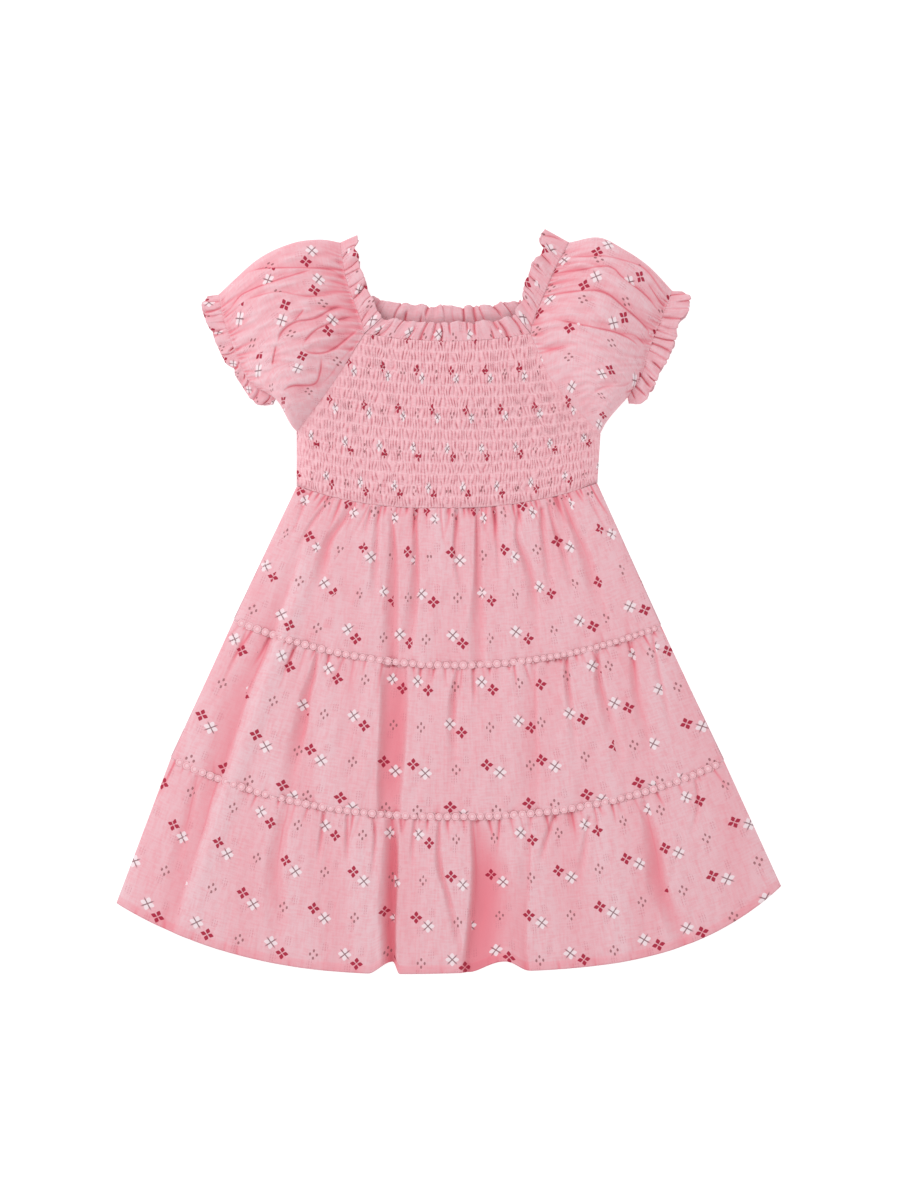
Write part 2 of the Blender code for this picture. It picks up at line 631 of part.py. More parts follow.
# ---- sleeves --------------------------------------------------------------
class Sleeve:
    """A raglan puff sleeve as it lies. along 0 is the neck edge and raglan seam, and
    along 1 the cuff; across 0 is the shoulder fold, and across 1 the underarm."""

    def __init__(self, cut):
        self.neck = curve_through(cut.neck_edge)
        self.raglan = curve_through(cut.raglan)
        self.shoulder = curve_through(cut.shoulder)
        self.cuff = curve_through(cut.cuff)
        self.underarm = curve_through(cut.underarm)
        self.creases = cut.creases

    def body_end(self, across):
        if across <= NECK_SHARE:
            return along(self.neck, across / NECK_SHARE)
        return along(self.raglan, (across - NECK_SHARE) / (1.0 - NECK_SHARE))

    def place(self, down, across):
        """A Coons patch between the four outlines."""
        ends = mix_points(self.body_end(across), along(self.cuff, across), down)
        folds = mix_points(along(self.shoulder, down), along(self.underarm, down), across)
        shoulder = mix_points(self.shoulder[0], self.shoulder[-1], down)
        underarm = mix_points(self.underarm[0], self.underarm[-1], down)
        corners = mix_points(shoulder, underarm, across)
        return tuple(a + b - c for a, b, c in zip(ends, folds, corners))

    def fold_height(self, down):
        """Where the front and the back meet at the two folds."""
        return mix(2.6, 6.0, math.sin(math.pi * min(down, 1.0)))

    def top_height(self, down):
        arch = math.sin(math.pi * min(down, 1.0)) ** SLEEVE_PUFF_POWER
        return mix(SLEEVE_END, SLEEVE_PUFF, arch)

    def front(self, down, across):
        """The outer face of the front, with its creases and without its gathers."""
        fold = self.fold_height(down)
        power = SLEEVE_ROUNDNESS
        dome = max(1.0 - abs(2.0 * across - 1.0) ** power, 0.0) ** (1.0 / power)
        x, y = self.place(down, across)
        depth = sum(
            crease.depth * bell(distance_to(crease.points, x, y) / crease.half_width)
            for crease in self.creases
        )
        depth *= smooth(5.0 * down) * smooth(5.0 * (1.0 - down)) * min(dome, 1.0)
        return fold + (self.top_height(down) - fold) * dome - depth

    def back(self, down, share):
        """The outer face of the back, flat on the surface away from the folds."""
        nearest = min(share, 1.0 - share)
        lift = max(1.0 - nearest / SLEEVE_REST, 0.0)
        return self.fold_height(down) * lift**2.2

    def gathers(self, down, column, across):
        """Half the height of the gathers from the neck edge and from the cuff."""
        height = 0.0
        if across < NECK_SHARE and down < NECK_GATHER_REACH:
            height += (-1.0) ** column * (1.0 - smooth(down / NECK_GATHER_REACH))
        if down > 1.0 - CUFF_GATHER_REACH:
            turn = math.sin(2.0 * math.pi * CUFF_GATHERS * across)
            height += turn * (1.0 - smooth((1.0 - down) / CUFF_GATHER_REACH))
        return SLEEVE_GATHER_HEIGHT * height


def distance_to(points, x, y):
    """The distance from a place to a line through points."""
    nearest = math.inf
    for (ax, ay), (bx, by) in zip(points, points[1:]):
        run_x, run_y = bx - ax, by - ay
        share = ((x - ax) * run_x + (y - ay) * run_y) / (run_x**2 + run_y**2)
        share = min(max(share, 0.0), 1.0)
        nearest = min(nearest, math.hypot(x - ax - share * run_x, y - ay - share * run_y))
    return nearest


def add_sleeve(name, sleeve):
    """A tube of rings, each round the front from the shoulder fold to the underarm
    and back below. A ring's places run from 0 to 1 on the front and to 2 behind."""
    outer, inner = [], []
    for down in spaced(SLEEVE_ROWS):
        points = []
        for column, across in enumerate(spaced(SLEEVE_COLUMNS)):
            swell = sleeve.gathers(down, column, across) * min(8.0 * across * (1.0 - across), 1.0)
            points.append((across, (*sleeve.place(down, across), sleeve.front(down, across) + swell)))
        for share in SLEEVE_BACK:
            across = 1.0 - share
            points.append((1.0 + share, (*sleeve.place(down, across), sleeve.back(down, share))))
        outer.append(Row(down, points))
    step = 0.5 / SLEEVE_INNER_ROWS
    for down in spaced(SLEEVE_INNER_ROWS):
        points = []
        near = [min(max(down + k * step, 0.0), 1.0) for k in (-2, -1, 0, 1, 2)]
        for across in spaced(SLEEVE_COLUMNS):
            inset = mix(0.018, 0.982, across)
            lowest = min(sleeve.front(place, inset) for place in near)
            z = max(lowest - WALL - SLEEVE_GATHER_HEIGHT, FRONT_FLOOR)
            if across in (0.0, 1.0):
                z = FRONT_FLOOR - 0.5 * SEAM_GAP
            points.append((across, (*sleeve.place(down, inset), z)))
        for share in SLEEVE_BACK:
            inset = mix(0.018, 0.982, 1.0 - share)
            points.append((1.0 + share, (*sleeve.place(down, inset), BACK_TOP)))
        inner.append(Row(down, points))
    add_wall(name, outer, inner, COTTON_PINK, ring=2.0)


# ---- ruffles --------------------------------------------------------------
def wave(share, waves, start):
    """A wave of uneven length and height along a ruffle."""
    phase = waves * share + 0.12 * math.sin(2.0 * math.pi * 3.1 * share + start)
    height = 0.8 + 0.2 * math.sin(2.0 * math.pi * 4.7 * share + 2.0 * start)
    return height * math.sin(2.0 * math.pi * phase)


def ruffle_rows(roots, edges, swings):
    """Three rows from the elastic to the free edge. swings holds, for each column,
    the wave's value and its half height at the edge."""
    rows = []
    for part in (0.0, 0.5, 1.0):
        row = []
        for root, edge, (turn, swing) in zip(roots, edges, swings):
            x, y, z = mix_points(root, edge, part)
            row.append((x, y, z + turn * mix(ROOT_SWING, swing, part)))
        rows.append(row)
    return rows


def gap_from(root, edge):
    """The root, moved off the elastic towards the edge."""
    return mix_points(root, edge, ROOT_GAP / math.dist(root[:2], edge[:2]))


def front_neck_ruffle():
    edge_curve = curve_through(FRONT_RUFFLE_EDGE)
    roots, edges, swings = [], [], []
    columns = POINTS_A_WAVE * NECK_RUFFLE_WAVES
    for share in spaced(columns):
        inset = mix(0.006, 0.994, share)
        x, y = on_arc(NECK_LINE, 2.0 * inset - 1.0)
        root = (x, y, SIDE_TOP + BODICE_PUFF - 1.0)
        edge = (*along(edge_curve, inset), SIDE_TOP + BODICE_PUFF)
        roots.append(gap_from(root, edge))
        edges.append(edge)
        swings.append((wave(share, NECK_RUFFLE_WAVES, 0.4), FRONT_SWING))
    add_cloth("neck_ruffle_front", ruffle_rows(roots, edges, swings), COTTON_PINK)


def back_neck_ruffle():
    edge_curve = curve_through(BACK_RUFFLE_EDGE)
    roots, edges, swings = [], [], []
    for share in spaced(POINTS_A_WAVE * BACK_RUFFLE_WAVES):
        inset = mix(0.01, 0.99, share)
        x, y = on_arc(BACK_NECK_LINE, 2.0 * inset - 1.0)
        edge = (*along(edge_curve, inset), BACK_EDGE_Z)
        roots.append(gap_from((x, y, RUFFLE_WALL), edge))
        edges.append(edge)
        swings.append((wave(share, BACK_RUFFLE_WAVES, 1.9), BACK_SWING))
    add_cloth("neck_ruffle_back", ruffle_rows(roots, edges, swings), COTTON_PINK)


def side_neck_ruffle(name, sleeve, ruffle):
    """Above a sleeve's neck edge: up the front, over the shoulder fold and down the
    back to the back neck line, as one strip."""
    edge_curve = curve_through(ruffle.edge)
    roots, edges, swings = [], [], []
    front_columns = POINTS_A_WAVE * SIDE_FRONT_WAVES
    for share in spaced(front_columns)[:-1]:
        rise = mix(0.012, 1.0, share)
        across = NECK_SHARE * (1.0 - rise)
        over = smooth((share - 0.85) / 0.3)
        z = mix(sleeve.front(0.0, across) - WALL / 2.0, sleeve.fold_height(0.0) + 1.5, over)
        edge = (*along(edge_curve, rise), mix(8.0, 5.2, over))
        roots.append(gap_from((*sleeve.body_end(across), z), edge))
        edges.append(edge)
        turn = wave(share, SIDE_FRONT_WAVES, ruffle.start)
        swings.append((turn, mix(FRONT_SWING, 0.6, over)))
    for share in spaced(POINTS_A_WAVE * SIDE_BACK_WAVES):
        over = smooth((0.15 - share) / 0.3)
        root_rise = mix(1.0, ruffle.root_stop, share)
        edge_rise = mix(1.0, ruffle.edge_stop, share)
        across = NECK_SHARE * (1.0 - root_rise)
        z = mix(RUFFLE_WALL, sleeve.fold_height(0.0) + 1.5, over)
        edge = (*along(edge_curve, edge_rise), mix(BACK_EDGE_Z, 5.2, over))
        roots.append(gap_from((*sleeve.body_end(across), z), edge))
        edges.append(edge)
        turn = wave(share, SIDE_BACK_WAVES, ruffle.start + 2.0)
        swings.append((turn, mix(BACK_SWING, 0.4, over)))
    add_cloth(name, ruffle_rows(roots, edges, swings), COTTON_PINK)


def cuff_ruffle(name, sleeve, edge_points, start):
    """A ring beyond the cuff elastic, along the front and back below it."""
    edge_curve = curve_through(edge_points)
    roots, edges, swings = [], [], []
    for share in spaced(POINTS_A_WAVE * CUFF_FRONT_WAVES)[:-1]:
        inset = mix(0.004, 0.996, share)
        rim = smooth(8.0 * min(share, 1.0 - share))
        z = mix(sleeve.fold_height(1.0) + 1.0, sleeve.front(1.0, 0.5) - WALL / 2.0, rim)
        edge = (*along(edge_curve, inset), mix(3.8, 6.6, rim))
        roots.append(gap_from((*along(sleeve.cuff, inset), z), edge))
        edges.append(edge)
        swings.append((wave(share, CUFF_FRONT_WAVES, start) * rim, FRONT_SWING))
    for share in spaced(POINTS_A_WAVE * CUFF_BACK_WAVES)[:-1]:
        inset = mix(0.996, 0.004, share)
        rim = smooth(8.0 * min(share, 1.0 - share))
        z = mix(sleeve.fold_height(1.0) + 1.0, RUFFLE_WALL, rim)
        edge = (*along(edge_curve, inset), mix(3.8, BACK_EDGE_Z, rim))
        roots.append(gap_from((*along(sleeve.cuff, inset), z), edge))
        edges.append(edge)
        swings.append((wave(share, CUFF_BACK_WAVES, start + 1.0) * rim, BACK_SWING))
    add_cloth(name, ruffle_rows(roots, edges, swings), COTTON_PINK, closed=True)


# ---- the dress ------------------------------------------------------------
def main():
    for thing in list(bpy.data.objects):
        bpy.data.objects.remove(thing)
    collection = bpy.data.collections.new(COLLECTION)
    bpy.context.scene.collection.children.link(collection)

    for tier in range(len(TIER_NAMES)):
        tier_front(tier)
        tier_back(tier)
    front_trim("trim_upper_front", 1)
    front_trim("trim_lower_front", 2)
    back_trim("trim_upper_back", 1)
    back_trim("trim_lower_back", 2)
    bodice_front()
    bodice_back()
    front_neck_ruffle()
    back_neck_ruffle()
    for side, cut, neck, cuff_edge in (
        ("left", LEFT_SLEEVE, LEFT_SIDE_RUFFLE, LEFT_CUFF_EDGE),
        ("right", RIGHT_SLEEVE, RIGHT_SIDE_RUFFLE, RIGHT_CUFF_EDGE),
    ):
        sleeve = Sleeve(cut)
        add_sleeve(f"sleeve_{side}", sleeve)
        side_neck_ruffle(f"neck_ruffle_{side}", sleeve, neck)
        cuff_ruffle(f"cuff_ruffle_{side}", sleeve, cuff_edge, neck.start)


main()
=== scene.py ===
"""The looks of a toddler's dress that lies flat on its back, front side up.

Every piece of cloth is a finer mesh on the form of its CAD solid, with its folds,
gathers and puckers, in a printed dobby cotton. +X is the right of the picture, +Y runs
from the hem to the neck, and the back rests on z = 0. Sizes are in millimetres, and
turn into metres where things are made. Down is 0 at the waist, 1 and 2 at the seams
between the tiers and 3 at the hem.
"""

import math
from collections import namedtuple

import bmesh
import bpy
import numpy as np
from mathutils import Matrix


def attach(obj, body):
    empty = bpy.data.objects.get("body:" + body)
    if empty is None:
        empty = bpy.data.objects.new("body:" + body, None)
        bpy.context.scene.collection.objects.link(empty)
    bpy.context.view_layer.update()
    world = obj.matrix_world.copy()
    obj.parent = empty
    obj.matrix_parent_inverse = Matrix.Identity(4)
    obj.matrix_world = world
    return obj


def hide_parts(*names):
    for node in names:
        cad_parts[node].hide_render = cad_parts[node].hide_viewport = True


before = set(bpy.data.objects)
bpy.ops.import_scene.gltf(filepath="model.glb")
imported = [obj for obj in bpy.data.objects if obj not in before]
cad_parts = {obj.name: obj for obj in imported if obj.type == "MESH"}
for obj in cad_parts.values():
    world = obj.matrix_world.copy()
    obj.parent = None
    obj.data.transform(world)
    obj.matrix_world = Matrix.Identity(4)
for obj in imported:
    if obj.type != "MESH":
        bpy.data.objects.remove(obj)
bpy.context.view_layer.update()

MM = 0.001

# ---- the photograph's view ------------------------------------------------
VIEW_CENTRE = (0.7, 0.7)
VIEW_HEIGHT = 840.0  # of the whole picture, on the dress
CAMERA_DISTANCE = 3000.0
CAMERA_REACH = 40000.0
SENSOR = 36.0

# ---- light ----------------------------------------------------------------
WORLD_STRENGTH = 0.878
KEY_PLACE = (-900.0, 700.0, 1100.0)
KEY_TARGET = (0.0, -20.0, 0.0)
KEY_SIZE = 1100.0
KEY_WATTS = 8.0
FLOOR_SIDE = 14000.0
FLOOR_DROP = 0.2  # below the dress
FLOOR_GLOW = 0.72

# ---- cloth ----------------------------------------------------------------
CLOTH = 0.7  # the thickness of the visible cloth
BACK_TOP = 1.4  # the inner face of the back
SIDE_TOP = 3.1  # the top of the front at its side seams
BACK_RELIEF = 0.85  # the depth of the deepest hollows under the back

# ---- seams across the dress -----------------------------------------------
# An arc runs from its left end to its right end and sags to middle_y. A higher
# power keeps the middle flat and turns up later.
Arc = namedtuple("Arc", "left_x left_y right_x right_y middle_y power_left power_right")
WAIST = Arc(-106.4, 80.5, 103.6, 82.6, 65.1, 2.4, 2.4)
TIER_SEAM_1 = Arc(-150.5, -13.3, 148.4, -17.5, -44.8, 2.0, 2.0)
TIER_SEAM_2 = Arc(-194.6, -109.9, 192.5, -112.0, -150.5, 2.3, 2.3)
HEM = Arc(-232.7, -211.4, 232.4, -199.5, -259.7, 2.6, 3.7)
SKIRT_ARCS = (WAIST, TIER_SEAM_1, TIER_SEAM_2, HEM)
BACK_HEM_RISE = 8.5  # how much higher the back's hem is in the middle

# Where the hem is drawn up, over a width to the left and to the right of x.
Lift = namedtuple("Lift", "x left right rise")
HEM_LIFTS = (Lift(-39.5, 17.0, 5.0, 8.0), Lift(39.0, 25.0, 17.0, 7.0))

# ---- skirt ----------------------------------------------------------------
# cut is the flat width of a tier's front half. A pair of flowers lies pair_down below
# the tier's top seam, in the print's row pair_row, and pair_side from the middle.
Tier = namedtuple("Tier", "name columns rows cut pair_down pair_row pair_side gathers seed")
TIERS = (
    Tier("upper", 460, 84, 345.0, 34.0, 0, 11.7, 54, 3),
    Tier("middle", 560, 84, 468.0, 73.0, 1, 26.6, 56, 5),
    Tier("lower", 680, 84, 528.0, 44.5, 1, 7.9, 60, 8),
)
ROW_SPAN = (0.0005, 0.9995)  # so that no row lies on a seam
EDGE_POWER = 7.0  # a higher one makes the front fall later to its side seams
LEAST_STAND = 0.25  # of the skirt's front above its sides
# how high the skirt stands above its sides at each down
SKIRT_PUFF = ((0.0, 4.2), (0.5, 5.8), (1.0, 5.4), (1.5, 7.2), (2.0, 6.8), (2.5, 8.6), (3.0, 8.8))
SEAM_DIPS = (0.2, 0.5, 0.5)  # how far the cloth goes down to the waist and the seams
SEAM_DIP_WIDTH = 2.2
HEM_BAND = 5.6
HEM_BAND_RISE = 0.35
WAVE_HEIGHT = 0.45
WRINKLE_HEIGHT = 0.16
FOLD_SHADE_LINE = 0.55  # the half width of the painted dark line, a painted shade, at the bottom of a fold
FOLD_SHADE_LINE_DEPTH = 2.2  # the depth of a fold whose painted line is dark all over
# The gathers under a seam: between which limits their half widths and depths are, and
# how much they reach, lean, fan out and bend.
GATHER_HALF = (0.8, 1.8)
GATHER_DEPTH = (0.4, 2.3)
GATHER_REACH = 6.0
GATHER_MORE_REACH = 34.0
LOWER_MORE_REACH = 12.0  # of the gathers that run up from the next seam
GATHER_LEAN = 0.14
GATHER_FAN = 0.35
GATHER_BEND = 0.004


def fold(*knots, flatness=2):
    """A fold through its knots, each an x, a y, its widths to the left and the right of
    its deepest line, and its depth. A negative depth is a ridge. A higher flatness makes
    a flat bottom."""
    return flatness, knots


FOLDS = (
    # the upper tier, from the left
    fold((-99, 76, 3, 2, 1.6), (-104, 60, 3, 2, 1.6), (-113, 41, 3, 2, 0)),
    fold((-82, 73, 3, 2.5, 1.6), (-97, 52, 3, 3, 1.8), (-109, 29, 3, 3, 0)),
    fold(
        (-68, 67, 5, 2.5, 1.4), (-72, 58, 6, 3, 2.4), (-82.6, 42, 7, 3, 3.2), (-87, 26, 8, 4, 2.4),
        (-91, 6, 8, 5, 0),
    ),
    fold((-54, 66, 2.5, 2, 1.5), (-60, 45, 3, 3, 0)),
    fold((-49, 66, 3, 2.5, 1.0), (-50.5, 40, 4, 3, 1.8), (-51.2, 18, 5, 3, 2.0), (-52, -6, 5, 4, 0)),
    fold(
        (-41, 62, 3, 2, 0.6), (-38.6, 48, 4, 2, 2.2), (-37.5, 20, 7, 3, 3.2), (-38, -10, 9, 3.6, 3.6),
        (-38.5, -46, 10, 4.5, 3.2),
    ),
    fold(
        (-23, 64, 2, 1.8, 1.6), (-22.5, 40, 4, 2, 2.4), (-22.2, 10, 7, 2.3, 3.0), (-24, -12, 9, 2.5, 2.6),
        (-28, -42, 9, 3, 0),
    ),
    fold((5.1, 64, 2, 3, 1.4), (4.2, 34, 2, 6, 2.0), (9, 9, 3, 6, 0.9), (14, -8, 4, 6, 0)),
    fold(
        (19.4, 65, 1.5, 3, 1.8), (19.4, 40, 2, 4, 2.8), (20.2, 12, 4, 5, 3.6), (21.5, -18, 9, 4.5, 3.0),
        (21.5, -46, 9, 5, 2.0),
    ),
    fold((32, 63, 2, 2, 1.0), (34, 36, 2, 2.5, 1.0), (36.5, 5, 3, 3, 0)),
    fold(
        (48.8, 62, 2, 3, 1.4), (47.5, 45, 3, 4, 2.2), (53, 30, 4, 5, 2.8), (58.7, 12, 6, 3, 2.4),
        (62, -26, 6, 3, 0),
    ),
    fold((64.5, 65, 2, 3, 1.6), (65.5, 48, 3, 4, 2.2), (68.5, 28, 4, 4, 1.8), (74, -12, 4, 4, 0)),
    fold((69.4, 68, 2, 3, 1.2), (73.4, 51, 2, 3, 1.8), (79.2, 35, 3, 3, 1.8), (90, -3, 4, 4, 0)),
    fold(
        (79, 72, 2, 4, 1.6), (88, 50, 4, 5, 3.0), (95, 35, 7, 4.5, 3.4), (100, 18, 9, 5, 2.4),
        (105, 3, 9, 5, 1.2), (116, -30, 8, 5, 0),
    ),
    fold((95, 78, 2, 2, 1.2), (105, 58, 2, 3, 1.5), (121, 30, 3, 3, 0)),
    # the long ridge on the left and the hollow outside it
    fold(
        (-100, 48, 6, 3, 0), (-113, 8, 12, 3, 1.6), (-129, -37, 18, 3, 3.2), (-140.5, -64, 22, 2.6, 3.6),
        (-154, -106, 22, 2.6, 3.4), (-164.5, -134, 22, 2.6, 3.2), (-172, -161, 20, 2.6, 3.0),
        (-187, -206, 18, 3, 2.2), (-197, -240, 14, 4, 0.8),
    ),
    fold(
        (-94, 46, 7, 12, 0), (-105, 8, 7, 12, -1.8), (-121, -37, 7, 13, -2.6), (-146, -106, 7, 14, -2.8),
        (-164, -161, 7, 14, -2.4), (-187, -235, 8, 14, -0.8),
    ),
    # the middle tier
    fold((-141, -19, 2, 2, 1.6), (-148, -36, 2, 2.5, 1.9), (-168, -78, 2, 3, 0)),
    fold((-107, -30, 2, 2, 1.5), (-110.5, -41, 2, 2, 1.4), (-116, -51, 2, 2, 0)),
    fold(
        (-92, -36, 2, 2, 1.8), (-94, -51, 5, 2.5, 2.8), (-98, -67, 8, 2.6, 3.6), (-100, -85, 10, 2.8, 3.6),
        (-104, -100, 11, 4, 3.0), (-110, -124, 10, 6, 1.2), (-113, -148, 8, 5, 2.0),
        (-116, -160, 9, 5, 3.0), (-120, -188, 11, 7, 3.8), (-119, -218, 11, 8, 2.2),
        (-121, -252, 9, 8, 0.4),
    ),
    fold(
        (-38, -44, 10, 9, 2.0), (-38, -58, 10.5, 10, 4.6), (-38, -80, 11, 10, 5.6),
        (-39, -105, 11, 9.5, 5.8), (-41, -130, 10, 9, 5.2), (-41, -151, 9, 8, 3.0), flatness=5,
    ),
    fold((6.5, -46, 2.5, 2, 1.8), (3.3, -75, 5, 3, 3.0), (4, -126, 6, 4, 0)),
    fold((16.9, -46, 2, 2, 1.8), (17.4, -60, 2, 2, 1.8), (17.8, -74, 2, 2, 0)),
    fold(
        (60, -42, 12, 2.5, 0.6), (60, -65, 18, 2.5, 1.9), (60.5, -95, 20, 3, 2.0), (61, -120, 18, 3, 1.5),
        (61, -148, 14, 3, 0.3),
    ),
    fold((81.5, -38, 2, 2, 1.9), (84, -62, 4, 2.5, 2.4), (90, -118, 5, 4, 0)),
    fold(
        (103.5, -34, 2.5, 2, 2.4), (105.6, -58, 5, 3, 3.2), (110.7, -76, 7, 4.5, 2.8),
        (117.3, -101, 8, 6, 1.4), (122, -132, 8, 6, 0.2),
    ),
    fold(
        (127.5, -28, 2.5, 2, 2.0), (130.2, -52, 5, 3, 2.6), (132.5, -70, 6, 4.5, 2.2),
        (138, -92, 7, 5.5, 1.4), (143, -125, 7, 6, 0),
    ),
    fold((142, -22, 2, 2, 1.8), (146, -46, 4, 2.5, 2.4), (150, -66, 4, 3, 2.0), (158, -100, 4, 3, 0)),
    # the lower tier
    fold((-176, -122, 4, 3, 1.4), (-184, -160, 7, 5, 2.2), (-197, -208, 8, 6, 0)),
    fold((-87, -147, 2, 2, 1.9), (-89, -164, 2.5, 2, 2.0), (-92, -186, 3, 3, 0)),
    fold((-71, -149, 2, 2, 1.7), (-71, -166, 2.5, 2, 1.9), (-71, -186, 3, 3, 0)),
    fold((-53, -150, 2, 2, 1.6), (-51.5, -166, 2, 2, 2.0), (-54, -196, 3, 2.5, 0)),
    fold(
        (-40, -151, 6, 5, 2.6), (-39, -160, 7, 4.5, 4.8), (-37.5, -176, 10, 3, 7.0),
        (-38, -205, 12, 2.6, 8.0), (-39, -232, 11, 2.6, 8.4), (-38.5, -264, 9, 2.6, 8.4),
    ),
    fold((-23.3, -150, 2, 2, 1.6), (-25, -168, 2.5, 2, 1.5), (-26, -186, 3, 3, 0)),
    fold(
        (-6.7, -151, 2, 2, 1.8), (-6.7, -182, 4, 2.6, 2.8), (-0.5, -205, 4, 2.6, 2.6), (6, -232, 5, 3, 1.8),
        (13, -262, 6, 4, 0.6),
    ),
    fold(
        (16.5, -153, 2.5, 8, 1.6), (18, -170, 3.5, 18, 4.0), (19, -190, 4, 30, 5.8),
        (18, -211, 4.5, 34, 6.6), (15, -241, 5, 37, 6.8), (13, -264, 6, 38, 6.6),
    ),
    fold(
        (56.5, -156, 8, 2, 0.8), (56, -188, 14, 2, 2.2), (53.8, -215, 18, 2, 3.0), (53, -243, 17, 2, 3.0),
        (56, -262, 13, 2, 2.4),
    ),
    fold((73.5, -150, 2, 2, 1.9), (68, -167, 3.5, 2, 1.9), (63, -186, 4, 3, 0)),
    fold((98, -150, 2, 2, 1.4), (93.5, -180, 4, 4, 1.3), (88, -206, 5, 5, 0)),
    fold((172, -124, 2, 2, 1.7), (174, -143, 2.5, 2, 1.9), (168, -166, 3, 3, 0)),
    fold(
        (136, -140, 4, 4, 1.4), (144.9, -176, 10, 6, 4.4), (148, -196, 12, 6, 4.8), (154, -213, 12, 7, 4.0),
        (160, -228, 11, 8, 2.8), (168, -252, 11, 9, 0.6),
    ),
)

# Where a roll of cloth lies over its neighbour, a width of print is out of sight.
Tuck = namedtuple("Tuck", "top_x foot_x hidden")
TUCKS = (
    (Tuck(-40.0, -38.0, 8.6), Tuck(-22.5, -26.0, 8.6), Tuck(82.0, 113.0, 10.3)),
    (
        Tuck(-130.0, -158.0, 13.0), Tuck(-92.0, -106.0, 13.0), Tuck(-28.5, -32.0, 30.0),
        Tuck(60.0, 61.5, 13.0), Tuck(103.5, 122.0, 17.2), Tuck(128.0, 145.0, 17.2),
        Tuck(142.0, 160.0, 17.2),
    ),
    (
        Tuck(-161.0, -194.0, 17.2), Tuck(-38.0, -38.0, 27.6), Tuck(18.0, 15.0, 20.7),
        Tuck(138.0, 162.0, 21.5),
    ),
)
TIER_LENGTH = 120.0  # of the cut
TIER_SHOWN = {"front": 0.7, "back": 0.6}  # the share of the cut that the mesh shows
INNER_ROWS = 12  # of a tier's inner face
FLAT_SHADE = 0.16  # how much painted shade flat cloth has, towards the colour of a hollow
FOLD_SHADE_DEPTH = 8.5  # the depth of a fold whose painted shade has the full colour of a hollow

# ---- trim over the tier seams ---------------------------------------------
PICOT_PITCH = 5.8
PICOT_RADIUS = 2.8
PICOT_BUNCHING = (0.0, 0.2, 0.0)  # how much closer the beads are at a seam's right end
BUNCHING_START = 0.62  # of the seam's length
BUNCHING_EASE = 0.15
PICOT_HEIGHT = 0.42
# A bead's rings, from its foot to its middle: how far out and up they are as shares of its radius and
# height, and how deep their painted shade is, deepest at the foot and in the groove and none in the middle.
BEAD_RINGS = (
    (1.0, 0.0, 1.0), (0.94, 0.6, 0.5), (0.8, 0.85, 0.15), (0.56, 0.35, 0.8), (0.4, 0.8, 0.1),
    (0.2, 1.0, -0.6),
)
BEAD_SIDES = 18
BEAD_LOBES = 6.0
LOBE_DEPTH = 0.06
LOOP_RADIUS = 0.5
LOOP_CORD = 0.26
LOOP_SIDE = 1.9  # how far a loop is from the middle of the row
LOOP_TURNS = 8
LOOP_CORD_SIDES = 4
# the painted shade on the loops
LOOP_SHADE = 0.3
FRONT_TAPE = (3.6, 0.35)  # the tape's width and thickness
BACK_TAPE = (2.6, 0.5)
# the painted shade on the tape
TAPE_SHADE = 0.55
TRIM_ROOM = 1.2  # between the edge of a back tier and the seam's middle
FRONT_TRIM_POINTS = 321
BACK_TRIM_POINTS = 201
BACK_TRIM_HEIGHT = 0.75
PICOT_SEED = 21

# ---- bodice ---------------------------------------------------------------
NECK_LINE = Arc(-58.6, 187.0, 56.7, 187.0, 181.6, 2.0, 2.0)
BACK_NECK_LINE = Arc(-62.3, 199.5, 59.5, 198.1, 193.2, 2.0, 2.0)
UNDERARM_SHARE = 0.64  # how far down the bodice its sleeve seams end
BODICE_PUFF = 4.2  # how high its middle stands above its side seams
SHIRRED_CHANNELS = 15
PUCKER_PITCH = 2.35
CHANNEL_HEIGHT = 1.6
EDGE_DROP = 1.3  # how far the bodice's lower edge turns down to the skirt
SHIRRING = 2.1  # widths of flat cloth in a width of shirring
SHIRRING_SHOWN = 1.3  # widths of it that show on the puckers, and the rest is between them
BODICE_LENGTH = 116.5
BODICE_WIDTH = 210.0
BODICE_PAIR = (3.2, 23.8)  # a pair of flowers: its x, and how far below the neck line
BODICE_SPAN = (0.0005, 1.0025)  # of its rows, a little past the waist
PRINT_STRETCH = 1.07  # of the print down the bodice
PRINT_LEAN = 0.045
BODICE_COLUMNS = 620
CHANNEL_ROWS = 8
BACK_BODICE_LENGTH = 124.0
BODICE_SHOWN = 0.5  # the share of the cut that the mesh shows
BODICE_SEED = 60
BACK_BODICE_SEED = 90
